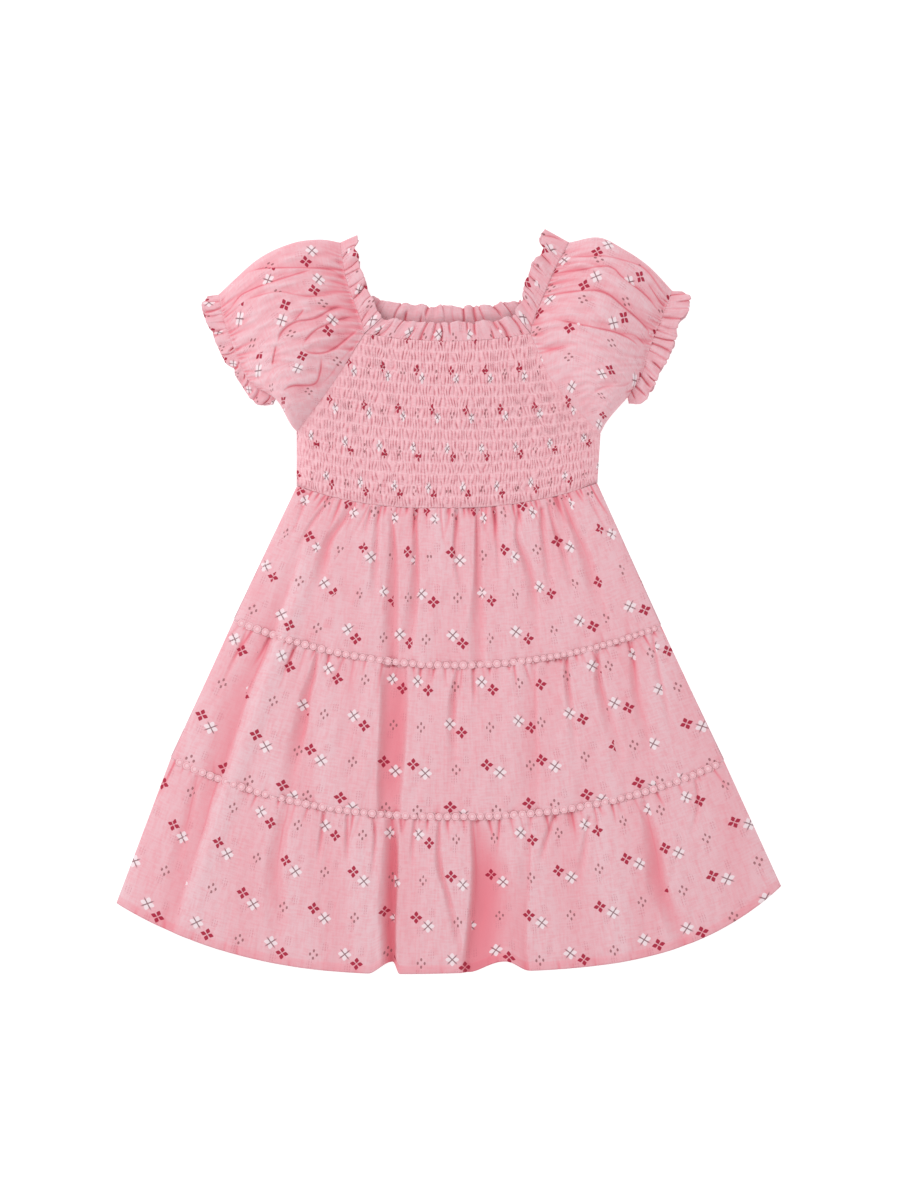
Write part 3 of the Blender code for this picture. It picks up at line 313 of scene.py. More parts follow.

# ---- sleeves --------------------------------------------------------------
# print_start is the print's u and v at the shoulder end of the cuff. hidden is the width of print that is
# out of sight in a crease. The tones are painted light and shade on each sleeve: how much deeper the
# cloth's colour is painted at the shoulder and at the underarm.
SleeveCut = namedtuple("SleeveCut", "neck_edge raglan shoulder cuff underarm print_start tones creases")
Crease = namedtuple("Crease", "half_width depth hidden points")
LEFT_SLEEVE = SleeveCut(
    neck_edge=((-75.3, 250.6), (-74.2, 238.7), (-70.7, 221.9), (-62.3, 199.5), (-58.6, 187.0)),
    raglan=((-58.6, 187.0), (-81.5, 151.5), (-106.4, 118.3)),
    shoulder=((-75.3, 250.6), (-90.3, 252.7), (-109.9, 249.9), (-133.7, 238.7), (-161.0, 214.5)),
    cuff=((-161.0, 214.5), (-157.5, 196.7), (-147.7, 170.1), (-138.0, 151.5), (-120.4, 142.1)),
    underarm=((-106.4, 118.3), (-111.3, 124.5), (-120.4, 142.1)),
    print_start=(8.0, -1.5),
    tones=(0.06, -0.13),
    creases=(
        Crease(
            3.0, 2.0, 20, ((-144, 228), (-131, 231.4), (-117, 231.8), (-90, 231.8), (-80, 230), (-74, 224)),
        ),
        Crease(
            3.2, 2.2, 9, ((-154, 202), (-146, 212), (-139, 216), (-127, 220.6), (-103, 228.4), (-92, 232)),
        ),
        Crease(
            2.6, 1.3, 11, ((-145, 207), (-137, 211), (-119, 215), (-105, 212.7), (-94, 212), (-74, 215)),
        ),
        Crease(
            4.5, 3.2, 9, ((-71, 204), (-80, 204), (-93, 196.6), (-107, 193.6), (-116, 187), (-120, 176)),
        ),
        Crease(3.0, 2.4, 0, ((-120, 178), (-122, 169), (-123, 163))),
        Crease(3.0, 2.2, 0, ((-108, 194), (-100, 203.5))),
        Crease(
            4.0, 2.6, 0, ((-65, 198.5), (-75, 196.6), (-84, 192.6), (-92, 188.7), (-99, 182), (-102, 176)),
        ),
        Crease(
            5.0, 3.6, 0, ((-102, 177), (-98, 173), (-88.6, 172.5), (-80, 176), (-70, 184), (-62, 190.7)),
        ),
        Crease(4.2, 2.6, 0, ((-88.6, 171), (-89.6, 160), (-94, 151), (-109, 149.5), (-117, 144.6))),
        Crease(3.5, 1.8, 0, ((-61, 184), (-75, 168), (-83, 157), (-92, 149))),
        Crease(3.0, 1.6, 0, ((-127, 159), (-119, 163), (-109, 166), (-105, 169))),
        Crease(2.6, 1.4, 0, ((-99, 246), (-86, 243), (-77, 240))),
    ),
)
RIGHT_SLEEVE = SleeveCut(
    neck_edge=((83.3, 250.6), (72.8, 230.3), (67.9, 218.4), (59.5, 198.1), (56.7, 187.0)),
    raglan=((56.7, 187.0), (73.0, 152.0), (105.7, 116.9)),
    shoulder=((83.3, 250.6), (104.3, 254.1), (121.1, 246.4), (139.3, 234.2), (156.1, 217.0)),
    cuff=((156.1, 217.0), (151.2, 203.7), (140.7, 177.8), (134.0, 157.0), (124.6, 142.1)),
    underarm=((105.7, 116.9), (111.3, 126.7), (124.6, 142.1)),
    print_start=(-12.5, 70.5),
    tones=(-0.09, -0.13),
    creases=(
        Crease(
            3.2, 2.2, 8,
            ((73.6, 229), (88, 230), (107, 233), (115, 231), (121, 225), (137, 213), (149, 199)),
        ),
        Crease(
            3.0, 1.8, 16,
            ((79, 240), (95, 240), (109, 240), (129.5, 235), (138, 230), (146, 220), (152, 211)),
        ),
        Crease(
            4.2, 3.2, 11,
            ((70, 213), (83, 215), (101, 216), (111, 213), (121, 205), (137, 191), (143, 179)),
        ),
        Crease(3.0, 1.6, 0, ((64, 202), (75.6, 200.5), (90, 200.5), (100, 199))),
        Crease(3.8, 2.8, 7, ((71, 197), (85, 193.6), (101, 190), (115, 187), (126.6, 182), (135, 175))),
        Crease(4.6, 1.7, 0, ((98, 143), (107, 148.6), (115, 149.5), (123, 150.5), (129, 156))),
        Crease(4.6, 1.3, 0, ((81, 150.5), (88, 143), (94, 135), (98, 128))),
        Crease(2.8, 1.5, 0, ((73, 226), (95, 226), (109, 228))),
        Crease(2.8, 1.4, 0, ((75, 208), (90, 208), (105, 210))),
        Crease(3.0, 2.0, 0, ((115, 186), (129, 185), (138, 177))),
        Crease(3.0, 2.2, 0, ((138, 222), (145, 212), (151, 204))),
    ),
)
SLEEVE_PUFF = 24.0  # the height of the front in the middle, and then at its two ends
SLEEVE_END = 8.2
SLEEVE_FOLD = 2.6  # the height of the folds at the ends, and then in the middle
SLEEVE_MID_FOLD = 6.0
SLEEVE_PUFF_POWER = 0.88
SLEEVE_ROUNDNESS = 2.6
SLEEVE_COLUMNS = 240
SLEEVE_BACK_COLUMNS = 50
SLEEVE_ROWS = 140
NECK_SHARE = 14 / 30  # of the sleeve's width, and the rest is at the raglan seam
SLEEVE_ROOM = 6.5  # from the front down to the inner face
SLEEVE_FLOOR = 2.3  # the lowest that the front's inner face comes
# the painted shade on the sleeve's back
SLEEVE_BACK_SHADE = 0.15
SLEEVE_REST = 0.2  # the share of the back, from each fold, that rises off the surface
SLEEVE_CUT = (185.0, 100.0)  # a sleeve's front half flat, round the arm and along it
SLEEVE_SHOWN = 0.7  # the share of the cut that the mesh shows
# The gathers at an end of a sleeve. span is the share of its width that they start on,
# drift how far they lean, fan how much more the later ones do, bend how the lean grows,
# and widen how much wider they get. Reach, drift and depth are drawn between limits.
Gathers = namedtuple("Gathers", "count span reach more_reach power drift fan bend widen depth")
NECK_GATHERS = Gathers(32, NECK_SHARE + 0.1, 0.1, 0.45, 1.4, (-0.06, 0.1), 0.25, 0.35, 1.6, (0.6, 1.8))
CUFF_GATHERS = Gathers(40, 1.0, 0.06, 0.26, 1.6, (-0.12, 0.12), 0.0, 0.0, 1.4, (0.5, 1.6))
GATHER_HALF_SHARE = (0.005, 0.011)  # their half width, as a share of the sleeve's
RUCK_PITCH = 2.6  # of the small puckers over the elastic

# ---- ruffles --------------------------------------------------------------
RUFFLE_CLOTH = 0.5
RUFFLE_DEPTH = 14.5
RUFFLE_PRINT = 14.0  # of print, from the elastic to the free edge
RUFFLE_SHOWN = 1.1  # widths of cloth that show in a width of ruffle
ROOT_PITCH = 2.5  # of the small puckers at its root line
ROOT_RELIEF = 0.7
SWELL_RELIEF = 0.9
# A ruffle's pleats: between which limits their half widths, depths and starts are, how
# far they lean, bow and tilt, and the share of them that start at the elastic.
PLEAT_HALF = (0.6, 1.6)
PLEAT_DEPTH = (0.9, 2.6)
PLEAT_START = (-0.3, 0.35)
PLEAT_LEAN = 3.0
PLEAT_BOW = 1.6
PLEAT_TILT = 1.8
ROOT_PLEATS = 0.3
# Points along the front and the back of a ruffle at a sleeve, and how high its root line
# and its free edge are.
SIDE_POINTS = (181, 121)
SIDE_BACK_Z = (1.3, 2.2)
SIDE_FOLD_EDGE_Z = 6.0
CUFF_POINTS = (261, 141)
CUFF_FOLD_Z = (3.0, 4.2)
CUFF_BACK_Z = (1.2, 2.0)
CUFF_TOP_EDGE_Z = 7.6
# fullness is the widths of flat cloth in a width of ruffle, shown the share of the cut
# that the mesh shows, and u and v the print's place at the ruffle's start.
Ruffle = namedtuple("Ruffle", "length fullness shown pleats seed rows u v")
RUFFLES = {
    "neck_ruffle_front": Ruffle(116.0, 2.15, 0.5, 14, 31, 15, 12.4, 69.9),
    "neck_ruffle_back": Ruffle(122.0, 1.7, 0.6, 14, 37, 12, 9.0, 22.0),
    "neck_ruffle_left": Ruffle(120.0, 1.7, 0.65, 17, 43, 13, 0.0, 33.0),
    "neck_ruffle_right": Ruffle(120.0, 1.7, 0.65, 17, 47, 13, 0.0, 33.0),
    "cuff_ruffle_left": Ruffle(190.0, 1.7, 0.5, 24, 51, 14, 16.0, 3.0),
    "cuff_ruffle_right": Ruffle(190.0, 1.7, 0.5, 24, 57, 14, 0.0, -6.0),
}
SIDE_RUFFLE_STOP = {"left": 0.22, "right": 0.2}  # the share of the neck edge left free behind
FRONT_RUFFLE_EDGE = ((-46.9, 197.7), (-12.6, 194.9), (31.5, 196.3), (45.9, 200.6))
BACK_RUFFLE_EDGE = ((-54.2, 213.5), (-34.3, 208.6), (7.0, 206.5), (39.9, 208.9), (50.1, 211.4))
LEFT_SIDE_EDGE = (
    (-46.9, 197.7), (-51.0, 207.0), (-54.6, 214.6), (-57.7, 221.5), (-60.7, 231.1), (-63.3, 240.6),
    (-65.6, 246.4), (-63.2, 251.0), (-63.9, 255.4),
)
RIGHT_SIDE_EDGE = (
    (45.9, 200.6), (50.1, 211.4), (54.0, 225.9), (57.5, 234.5), (62.7, 242.4), (65.9, 246.4), (63.8, 251.0),
    (65.7, 260.2),
)
LEFT_CUFF_EDGE = (
    (-168.6, 213.4), (-172.8, 207.0), (-171.5, 200.0), (-167.5, 191.0), (-163.9, 182.4), (-159.1, 172.0),
    (-155.4, 165.1), (-150.4, 162.0), (-149.1, 157.2), (-145.2, 151.2), (-141.3, 144.2), (-136.1, 139.0),
    (-130.9, 136.9), (-122.5, 137.5),
)
RIGHT_CUFF_EDGE = (
    (163.0, 216.6), (168.9, 212.4), (168.3, 204.5), (165.4, 198.9), (160.7, 194.6), (159.7, 187.6),
    (157.8, 179.5), (153.3, 169.4), (148.9, 160.7), (145.0, 155.0), (142.6, 147.7), (138.3, 141.6),
    (133.0, 137.7), (125.5, 137.5),
)

# ---- print and colours ----------------------------------------------------
REPEAT = 50.0  # from one pair of flowers to the next in a row
ROW_PITCH = 29.0
PAIR_HALF = (4.2, 2.9)  # from the middle of a pair to each flower
Petal = namedtuple("Petal", "centre half_length half_width power sharpness")
CRIMSON_PETAL = Petal(2.4, 1.95, 1.5, 1.2, 5.0)
WHITE_PETAL = Petal(2.6, 1.95, 1.5, 1.6, 3.5)
PETAL_GAP = 0.56  # the width of the lines between white petals
PETAL_REACH = 3.1  # and how far out they go
DOT_SIZE = (0.72, 1.15)
DOT_UP = 2.6
DOT_SIDE = 2.3
DASH_CLUSTERS = ((19.5, 6.4), (11.0, -6.8))  # above and below the middle of a pair
DASH_CLUSTER_SIZE = (2.3, 3.3)
DASH_PITCH = (1.6, 1.9)
DASH_HALF = (0.32, 0.6)
Finish = namedtuple("Finish", "roughness sheen bump")
COTTON_FINISH = Finish(0.85, 0.12, 0.13)
PICOT_FINISH = Finish(0.7, 0.2, 0.08)
FLOOR_FINISH = Finish(0.9, 0.0, 0.05)
# LIT_PINK, SHIRRED_LIT and PICOT_LIT are the cloth and the trim in light. The deeper colour after each is
# painted shade for the hollows, and it also marks the cloth's mottled threads and the trim's twisted
# thread.
LIT_PINK = (0.775, 0.50, 0.545, 1.0)
SHADE_AND_MOTTLE_PINK = (0.77, 0.225, 0.275, 1.0)
SHIRRED_LIT = (0.855, 0.52, 0.562, 1.0)
SHIRRED_SHADE_AND_MOTTLE = (0.64, 0.17, 0.22, 1.0)
PICOT_LIT = (0.86, 0.56, 0.60, 1.0)
PICOT_SHADE_AND_TWIST = (0.76, 0.32, 0.37, 1.0)
DASH_PINK = (0.56, 0.17, 0.22, 1.0)
CRIMSON = (0.38, 0.010, 0.040, 1.0)
PETAL_WHITE = (0.84, 0.71, 0.745, 1.0)
PETAL_LINE = (0.16, 0.09, 0.10, 1.0)
DOT_BROWN = (0.27, 0.09, 0.10, 1.0)
PAINTED_FOLD_SHADOW_PINK = (0.46, 0.09, 0.13, 1.0)  # painted shade in the deepest folds and creases
FLOOR_WHITE = (0.5, 0.5, 0.5, 1.0)
FLOOR_GREY = (0.45, 0.45, 0.45, 1.0)
WHITE = (1.0, 1.0, 1.0, 1.0)
UV_UNIT = 100.0  # millimetres of cloth in one unit of the map


# ---- small sums -----------------------------------------------------------
def mix(a, b, t):
    return a + (b - a) * t


def smooth(t):
    t = np.clip(t, 0.0, 1.0)
    return t * t * (3.0 - 2.0 * t)


def inwards(t, steepness):
    """0 where t is 0 and 1, rising to 1 between them."""
    return smooth(steepness * t) * smooth(steepness * (1.0 - t))


def bell(distance, flatness=2.0):
    """1 at 0, falling smoothly to 0 at a distance of 1."""
    return np.clip(1.0 - np.abs(distance) ** flatness, 0.0, 1.0) ** 2


def peak(distance):
    """1 at 0, falling fast past a distance of 1, and never quite 0."""
    return np.exp(-(distance**2))


def curve_through(points, steps=12):
    """A dense Catmull-Rom curve through the points, as an array."""
    points = np.array(points, float)
    padded = np.vstack([2 * points[0] - points[1], points, 2 * points[-1] - points[-2]])
    t = np.linspace(0.0, 1.0, steps, endpoint=False)[:, None]
    parts = []
    for a, b, c, d in zip(padded, padded[1:], padded[2:], padded[3:]):
        cubic = 2 * b + (c - a) * t + (2 * a - 5 * b + 4 * c - d) * t**2 + (3 * b - a - 3 * c + d) * t**3
        parts.append(0.5 * cubic)
    return np.vstack(parts + [points[-1:]])


def along(dense, share):
    """The points at shares of a dense curve's length, x and y last."""
    steps = np.hypot(*np.diff(dense[:, :2], axis=0).T)
    lengths = np.concatenate([[0.0], np.cumsum(steps)])
    at = np.clip(share, 0.0, 1.0) * lengths[-1]
    return np.stack([np.interp(at, lengths, dense[:, 0]), np.interp(at, lengths, dense[:, 1])], -1)


def arc_width(arc):
    return arc.right_x - arc.left_x


def on_arc(arc, across):
    """x and y on a seam. across runs from -1 at the left to 1 at the right."""
    share = (across + 1.0) / 2.0
    power = np.where(across < 0, arc.power_left, arc.power_right)
    sag = arc.middle_y - (arc.left_y + arc.right_y) / 2.0
    y = mix(arc.left_y, arc.right_y, share) + sag * (1.0 - np.abs(across) ** power)
    return mix(arc.left_x, arc.right_x, share), y


def from_table(rows, at):
    """The second column of a two-column table, eased between its rows."""
    places = np.array([row[0] for row in rows])
    values = np.array([row[1] for row in rows])
    low = np.clip(np.searchsorted(places, at, side="right") - 1, 0, len(places) - 2)
    share = (at - places[low]) / (places[low + 1] - places[low])
    return mix(values[low], values[low + 1], smooth(share))


def ripples(x, y, seed, count, across, down):
    """A random, even field of about -1 to 1. across and down are the shortest and the
    longest wavelengths along x and along y."""
    chance = np.random.default_rng(seed)
    field = np.zeros(np.broadcast(x, y).shape)
    weight = 0.0
    for _ in range(count):
        length_x = mix(across[0], across[1], chance.random())
        length_y = mix(down[0], down[1], chance.random())
        lean = chance.choice([-1.0, 1.0])
        turn = 2.0 * math.pi * (x / length_x + lean * y / length_y + chance.random())
        strength = length_x / across[1]
        field += strength * np.sin(turn)
        weight += strength**2
    return field / math.sqrt(weight)


def beside_line(points, x, y):
    """How far places are from a line, with the sign of the side, and how far along it
    from 0 to 1 they are."""
    steps = np.hypot(*np.diff(points, axis=0).T)
    starts = np.concatenate([[0.0], np.cumsum(steps)])
    nearest = np.full(np.shape(x), np.inf)
    signed = np.zeros(np.shape(x))
    along_it = np.zeros(np.shape(x))
    for (ax, ay), (bx, by), start, step in zip(points, points[1:], starts, steps):
        run_x, run_y = bx - ax, by - ay
        share = np.clip(((x - ax) * run_x + (y - ay) * run_y) / step**2, 0.0, 1.0)
        off_x, off_y = x - ax - share * run_x, y - ay - share * run_y
        away = np.hypot(off_x, off_y)
        closer = away < nearest
        nearest = np.where(closer, away, nearest)
        signed = np.where(closer, away * np.sign(run_x * off_y - run_y * off_x), signed)
        along_it = np.where(closer, (start + share * step) / starts[-1], along_it)
    return signed, along_it


# ---- materials ------------------------------------------------------------
class Value:
    """A number in a node tree, so that a chart can be written as plain sums."""

    def __init__(self, tree, socket):
        self.tree = tree
        self.socket = socket

    def math(self, operation, *others, clamp=False):
        node = self.tree.nodes.new("ShaderNodeMath")
        node.operation = operation
        node.use_clamp = clamp
        for slot, value in zip(node.inputs, (self, *others)):
            if isinstance(value, Value):
                self.tree.links.new(value.socket, slot)
            else:
                slot.default_value = value
        return Value(self.tree, node.outputs[0])

    def __add__(self, other):
        return self.math("ADD", other)

    def __sub__(self, other):
        return self.math("SUBTRACT", other)

    def __mul__(self, other):
        return self.math("MULTIPLY", other)

    def __truediv__(self, other):
        return self.math("DIVIDE", other)

    def size(self):
        return self.math("ABSOLUTE")

    def wrapped(self, period):
        return self.math("FLOORED_MODULO", period)

    def low(self, other):
        return self.math("MINIMUM", other)

    def high(self, other):
        return self.math("MAXIMUM", other)

    def inside(self, sharpness=5.0):
        """1 where the value is below 1 and 0 above, with an edge a thread wide."""
        return (self * -sharpness).math("ADD", sharpness + 0.5, clamp=True)


class Tree:
    """A material's nodes."""

    def __init__(self, name, finish):
        self.material = bpy.data.materials.new(name)
        self.material.use_nodes = True
        self.tree = self.material.node_tree
        self.bump = finish.bump
        self.shader = self.tree.nodes["Principled BSDF"]
        self.shader.inputs["Roughness"].default_value = finish.roughness
        self.shader.inputs["Sheen Weight"].default_value = finish.sheen
        self.shader.inputs["Sheen Roughness"].default_value = 0.5
        self.shader.inputs["Specular IOR Level"].default_value = 0.2

    def node(self, kind):
        return self.tree.nodes.new(kind)

    def link(self, start, end):
        self.tree.links.new(start, end)

    def cloth_place(self):
        """The flat cloth's u and v, in millimetres, from the map named cloth."""
        uv = self.node("ShaderNodeUVMap")
        uv.uv_map = "cloth"
        parts = self.node("ShaderNodeSeparateXYZ")
        self.link(uv.outputs[0], parts.inputs[0])
        u = Value(self.tree, parts.outputs[0]) * UV_UNIT
        v = Value(self.tree, parts.outputs[1]) * UV_UNIT
        return u, v

    # The painted shade of each point: it takes the colour towards a deeper pink where shade falls, in
    # folds, creases, gathers and puckers.
    def painted_shade(self):
        attribute = self.node("ShaderNodeAttribute")
        attribute.attribute_name = "painted_shade"
        return Value(self.tree, attribute.outputs["Fac"])

    def noise(self, u, v, u_size, v_size, detail):
        """Noise in streaks of about u_size by v_size, from 0 to 1."""
        vector = self.node("ShaderNodeCombineXYZ")
        self.link((u / u_size).socket, vector.inputs[0])
        self.link((v / v_size).socket, vector.inputs[1])
        noise = self.node("ShaderNodeTexNoise")
        noise.inputs["Scale"].default_value = 1.0
        noise.inputs["Detail"].default_value = detail
        self.link(vector.outputs[0], noise.inputs["Vector"])
        return Value(self.tree, noise.outputs["Fac"])

    def blend(self, base, other, mask):
        """A colour socket of base with other over it where the mask is 1."""
        node = self.node("ShaderNodeMix")
        node.data_type = "RGBA"
        self.link(mask.socket, node.inputs[0])
        for slot, colour in ((6, base), (7, other)):
            if isinstance(colour, tuple):
                node.inputs[slot].default_value = colour
            else:
                self.link(colour, node.inputs[slot])
        return node.outputs[2]

    def finish(self, colour, height):
        self.link(colour, self.shader.inputs["Base Color"])
        bump = self.node("ShaderNodeBump")
        bump.inputs["Strength"].default_value = 1.0
        bump.inputs["Distance"].default_value = self.bump * MM
        self.link(height.socket, bump.inputs["Height"])
        self.link(bump.outputs[0], self.shader.inputs["Normal"])
        return self.material


def flower(x, y, petal):
    """Four petals up, down, left and right, 1 on a petal. A power of 1 gives pointed
    petals, and 2 gives round ones."""
    far = x.size().high(y.size())
    near = x.size().low(y.size())
    outward = ((far - petal.centre).size() / petal.half_length).math("POWER", petal.power)
    across = (near / petal.half_width).math("POWER", petal.power)
    return (outward + across).inside(petal.sharpness)


def spot(x, y, half_width, half_height):
    """A round spot: below 1 inside."""
    return (x / half_width).math("POWER", 2.0) + (y / half_height).math("POWER", 2.0)


def print_row(v):
    """The number of the print's row, and how far above its middle a place is."""
    row = (v / ROW_PITCH).math("FLOOR")
    return row, v - (row + 0.5) * ROW_PITCH


def printed_chart(u, v):
    """The masks of one repeat, charted: crimson petals, white petals, the lines between them, and four
    dots. Rows alternate by half a repeat, and every two rows the pairs change their flowers over."""
    row, row_v = print_row(v)
    shift = row.wrapped(2.0) * (REPEAT / 2.0)
    row_u = (u + shift).wrapped(REPEAT) - REPEAT / 2.0
    turned = row.wrapped(4.0).math("GREATER_THAN", 1.5)
    sign = turned * -2.0 + 1.0
    pair_u, pair_v = row_u * sign, row_v * sign
    half_u, half_v = PAIR_HALF
    crimson = flower(pair_u + half_u, pair_v - half_v, CRIMSON_PETAL)
    white_u, white_v = pair_u - half_u, pair_v + half_v
    white = flower(white_u, white_v, WHITE_PETAL)
    reach = white_u.size().high(white_v.size())
    line_off = (white_u.size() - white_v.size()).size() / PETAL_GAP
    line = line_off.high(reach / PETAL_REACH).inside(2.5)
    dot_u = (row_u.size() - REPEAT / 2.0).size()
    upright = spot(dot_u, row_v.size() - DOT_UP, *DOT_SIZE)
    level = spot(dot_u - DOT_SIDE, row_v, *DOT_SIZE)
    dots = upright.low(level).inside(2.5)
    return crimson, white, line, dots


def dobby_dashes(u, v):
    """Clusters of small woven dashes above and below each flower, 1 on a dash."""
    row_v = print_row(v)[1]
    upper, lower = (
        spot((u - at_u).wrapped(REPEAT / 2.0) - REPEAT / 4.0, row_v - at_v, *DASH_CLUSTER_SIZE)
        for at_u, at_v in DASH_CLUSTERS
    )
    cluster = upper.low(lower).inside(4.0)
    dash_u, dash_v = (
        (way.wrapped(pitch) - pitch / 2.0).size() / half
        for way, pitch, half in zip((u, v), DASH_PITCH, DASH_HALF)
    )
    return cluster * dash_u.high(dash_v).inside(1.4)


def weave_height(tree, u, v):
    """Threads, slubs and a soft crinkle, as a height from about 0 to 2."""
    warp = tree.noise(u, v, 0.45, 5.0, 1.0)
    weft = tree.noise(u, v, 5.0, 0.45, 1.0)
    crinkle = tree.noise(u, v, 3.5, 9.0, 3.0) + tree.noise(u, v, 8.0, 26.0, 2.0) * 2.0
    return warp * 0.35 + weft * 0.35 + crinkle


def cotton_material(name, lit, deep):
    """Printed dobby cotton, lit on flat cloth, with painted shade in the hollows: towards the deeper pink,
    and towards a darker pink in the deepest folds.
    """
    tree = Tree(name, COTTON_FINISH)
    u, v = tree.cloth_place()
    painted_shade = tree.painted_shade()
    height = weave_height(tree, u, v)
    # painted shade: towards the deeper pink where shade falls, and towards a darker pink still in the
    # deepest folds
    colour = tree.blend(lit, deep, painted_shade.low(1.0))
    colour = tree.blend(colour, PAINTED_FOLD_SHADOW_PINK, (painted_shade - 1.0).math("MULTIPLY", 0.8, clamp=True))
    threads = tree.noise(u, v, 1.3, 9.0, 3.0) + tree.noise(u, v, 7.0, 1.2, 2.0)
    streaks = tree.noise(u, v, 4.5, 30.0, 2.0)
    mottle = (threads * 0.8 + streaks * 0.5 - 0.93).math("MULTIPLY", 1.1, clamp=True)
    # the threads' own mottle, in the same deeper pink
    colour = tree.blend(colour, deep, mottle)
    dashes = dobby_dashes(u, v)
    crimson, white, line, dots = printed_chart(u, v)
    for mask, paint, strength in (
        (dashes, DASH_PINK, 0.42),
        (dots, DOT_BROWN, 0.8),
        (crimson, CRIMSON, 0.96),
        (white, PETAL_WHITE, 0.9),
        (line, PETAL_LINE, 0.75),
    ):
        colour = tree.blend(colour, paint, mask * strength)
    return tree.finish(colour, height - dashes * 0.5 + (crimson + white) * 0.5)


def picot_material():
    tree = Tree("picot_trim", PICOT_FINISH)
    u, v = tree.cloth_place()
    twist = tree.noise(u + v, u - v, 0.3, 1.2, 1.0)
    # painted shade: deeper at the beads' feet and grooves and on the tape and loops; the thread's own twist
    # is also marked in the deeper colour
    colour = tree.blend(PICOT_LIT, PICOT_SHADE_AND_TWIST, tree.painted_shade())
    colour = tree.blend(colour, PICOT_SHADE_AND_TWIST, (twist - 0.4).math("MULTIPLY", 0.4, clamp=True))
    return tree.finish(colour, twist)


def floor_material():
    """White paper that glows a little, so that it is as white as the photo's ground."""
    tree = Tree("floor", FLOOR_FINISH)
    coordinates = tree.node("ShaderNodeTexCoord")
    noise = tree.node("ShaderNodeTexNoise")
    noise.inputs["Scale"].default_value = 600.0
    tree.link(coordinates.outputs["Object"], noise.inputs["Vector"])
    tree.shader.inputs["Emission Color"].default_value = WHITE
    tree.shader.inputs["Emission Strength"].default_value = FLOOR_GLOW
    grain = Value(tree.tree, noise.outputs["Fac"]) * 0.02
    return tree.finish(tree.blend(FLOOR_WHITE, FLOOR_GREY, grain), grain)


MATERIALS = {
    "cotton_dobby": cotton_material("cotton_dobby", LIT_PINK, SHADE_AND_MOTTLE_PINK),
    "shirred_cotton": cotton_material("shirred_cotton", SHIRRED_LIT, SHIRRED_SHADE_AND_MOTTLE),
    "picot_trim": picot_material(),
}


# ---- meshes ---------------------------------------------------------------
def quad_corners(grid):
    """Each quad's four corners, from a grid of one value a point."""
    corners = (grid[:-1, :-1], grid[1:, :-1], grid[1:, 1:], grid[:-1, 1:])
    return np.stack(corners, -1).reshape(-1, 4)


